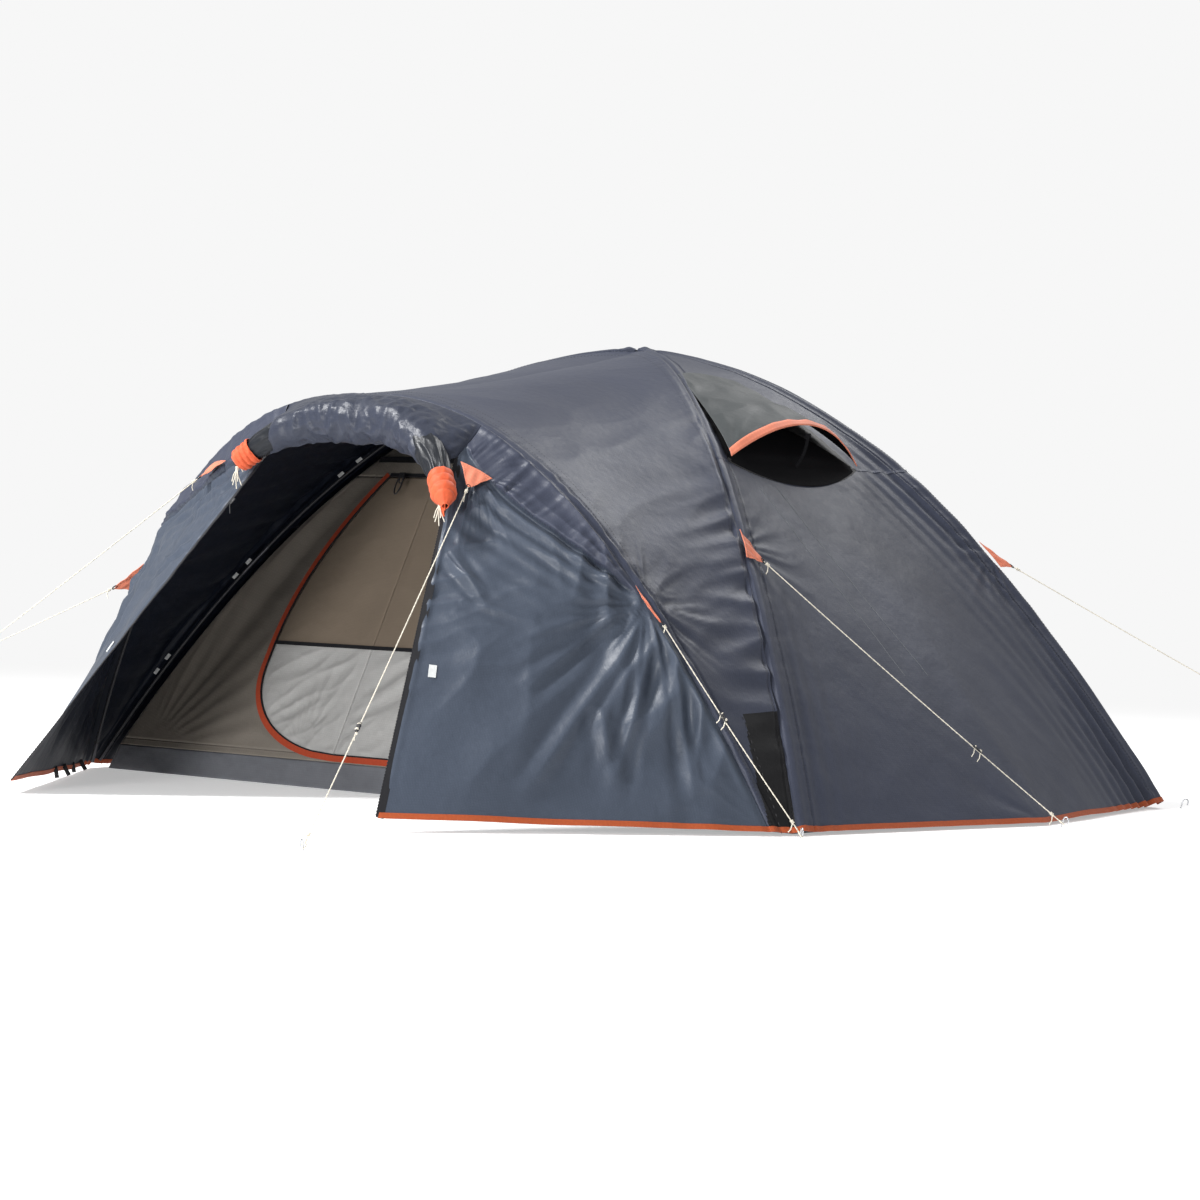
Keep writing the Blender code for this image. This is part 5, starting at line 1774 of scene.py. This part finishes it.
def build_wall_seams():
    """Two fine seams that run down each side wall from the vent."""
    for side_name, side in SIDES.items():
        parts = []
        for top_y, low_y in ((-0.34, -0.22), (-0.25, -0.12)):
            path, ups = [], []
            for share in evenly(0, 1, 60):
                reach = reach_at(0.89 - 0.50 * share)
                across = (top_y + (low_y - top_y) * share) / (HALF_DEPTH * reach)
                here = side_wall(side, reach, across)
                slope = side_wall(side, reach + 0.005, across) - here
                normal = slope.cross(Vector((0, side, 0))).normalized()
                normal = normal if normal.z > 0 else -normal
                path.append(here + normal * side_wrinkle(side, here, across, reach))
                ups.append(normal)
            parts.append(ribbon(path, ups, 0.0022, 0.0006))
        solid_piece("wall_seam_" + side_name, parts, PALE_THREAD)


def build_sliders():
    """Zip slider with a pull cord, on each fly door zip."""
    corners = ((-1, -0.7), (-0.7, -1), (0.7, -1), (1, -0.7), (1, 0.7), (0.7, 1), (-0.7, 1), (-1, 0.7))
    for side_name, side in SIDES.items():
        body = "fly_zip_slider_" + side_name
        low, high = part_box(body)
        centre = (low + high) / 2
        track = mirrored((ZIP_FOOT - zip_top(side)).normalized(), side)
        up = Vector((side * 0.3, -1, 0)).normalized()
        path = [centre + track * share * 0.017 for share in evenly(-0.5, 0.5, 10)]
        widths = evenly(0.0055, 0.0037, 10)
        pull = [centre + up * 0.004, centre + up * 0.007 - Vector((0, 0, 0.01)),
                centre + up * 0.006 - Vector((0, 0, 0.034))]
        parts = [tapered_bar(path, widths, track.cross(up).normalized(), up, corners, 0.0026),
                 tube(pull, 0.0016, 8)]
        solid_piece("zip_slider_" + side_name, parts, PLASTIC, body=body, replaced=body)


# Stage

def build_stage():
    """White floor that fades into the white surroundings away from the tent, so no horizon shows."""
    made, tree, shader = new_material("floor")
    place = tree.nodes.new("ShaderNodeTexCoord").outputs["Object"]
    length = tree.nodes.new("ShaderNodeVectorMath")
    length.operation = "LENGTH"
    tree.links.new(place, length.inputs[0])
    fade = tree.nodes.new("ShaderNodeMapRange")
    fade.interpolation_type = "SMOOTHSTEP"
    fade.inputs["From Min"].default_value = FLOOR_FADE[0]
    fade.inputs["From Max"].default_value = FLOOR_FADE[1]
    tree.links.new(length.outputs["Value"], fade.inputs["Value"])
    faded = fade.outputs["Result"]
    tree.links.new(spread_node(tree, faded, FLOOR_SHADE, 0.0), shader.inputs["Base Color"])
    tree.links.new(spread_node(tree, faded, FLOOR_GLOW, BACKDROP), shader.inputs["Emission Strength"])
    shader.inputs["Emission Color"].default_value = (1.0, 1.0, 1.0, 1)
    shader.inputs["Roughness"].default_value = 1.0
    shader.inputs["Specular IOR Level"].default_value = 0.0
    mesh = bpy.data.meshes.new("floor")
    half, below = 200.0, -0.001
    corners = [(-half, -half, below), (half, -half, below), (half, half, below), (-half, half, below)]
    mesh.from_pydata(corners, [], [(0, 1, 2, 3)])
    mesh.materials.append(made)
    new_object("floor", mesh)


def build_light(name, place, target, size, power):
    """Square lamp at a place, turned to its target."""
    data = bpy.data.lights.new(name, "AREA")
    data.shape = "SQUARE"
    data.size = size
    data.energy = power
    made = new_object(name, data)
    made.location = place
    made.rotation_euler = (Vector(target) - Vector(place)).to_track_quat("-Z", "Y").to_euler()


def build_studio():
    """Soft pale surroundings, brighter to the camera than as a light, with a key, a fill and a rim light."""
    world = bpy.data.worlds.new("studio")
    world.use_nodes = True
    tree = world.node_tree
    background = tree.nodes["Background"]
    background.inputs["Color"].default_value = (1.0, 1.0, 1.0, 1)
    seen = tree.nodes.new("ShaderNodeLightPath").outputs["Is Camera Ray"]
    tree.links.new(spread_node(tree, seen, SURROUNDING_LIGHT, BACKDROP), background.inputs["Strength"])
    bpy.context.scene.world = world
    bpy.context.scene.view_settings.view_transform = "Standard"
    build_light("key", (-3.0, -5.0, 7.0), (0, -0.3, 0.5), 1.3, 920)
    build_light("front_fill", (1.5, -8.0, 1.2), (-0.2, -0.6, 0.4), 1.6, 340)
    build_light("rim", (0.5, 5.0, 6.0), (0, 0, 0.8), 3.0, 200)


def build_camera():
    """Low three-quarter view from the tent's front right, from far off with a long lens."""
    data = bpy.data.cameras.new("camera")
    data.sensor_width = 36
    data.lens = CAMERA_LENS
    forward = Vector(CAMERA_FORWARD).normalized()
    right = Vector(CAMERA_RIGHT)
    right = (right - forward * right.dot(forward)).normalized()
    turn = Matrix((right, right.cross(forward), -forward)).transposed().to_4x4()
    camera = new_object("camera", data)
    camera.matrix_world = Matrix.Translation(CAMERA_PLACE) @ turn
    bpy.context.scene.camera = camera


build_dome_fly()
build_leg_threads()
build_porch_roof()
for side_name, side in SIDES.items():
    build_front_panel(side_name, side)
    build_cuff(side_name, side)
    build_vent(side_name, side)
    build_vent_prop(side_name, side)
build_rolled_door()
for name, (seam, along, peg_foot) in guy_anchors().items():
    build_guyline(name, seam, along, peg_foot)
for name in frame["bodies"]:
    if name.startswith("peg_"):
        build_peg(name)
build_poles()
build_inner_tent()
build_inner_seams()
build_door()
build_tub()
build_hook()
build_pole_ties()
build_hem_straps()
build_wall_seams()
build_sliders()
build_stage()
build_studio()
build_camera()
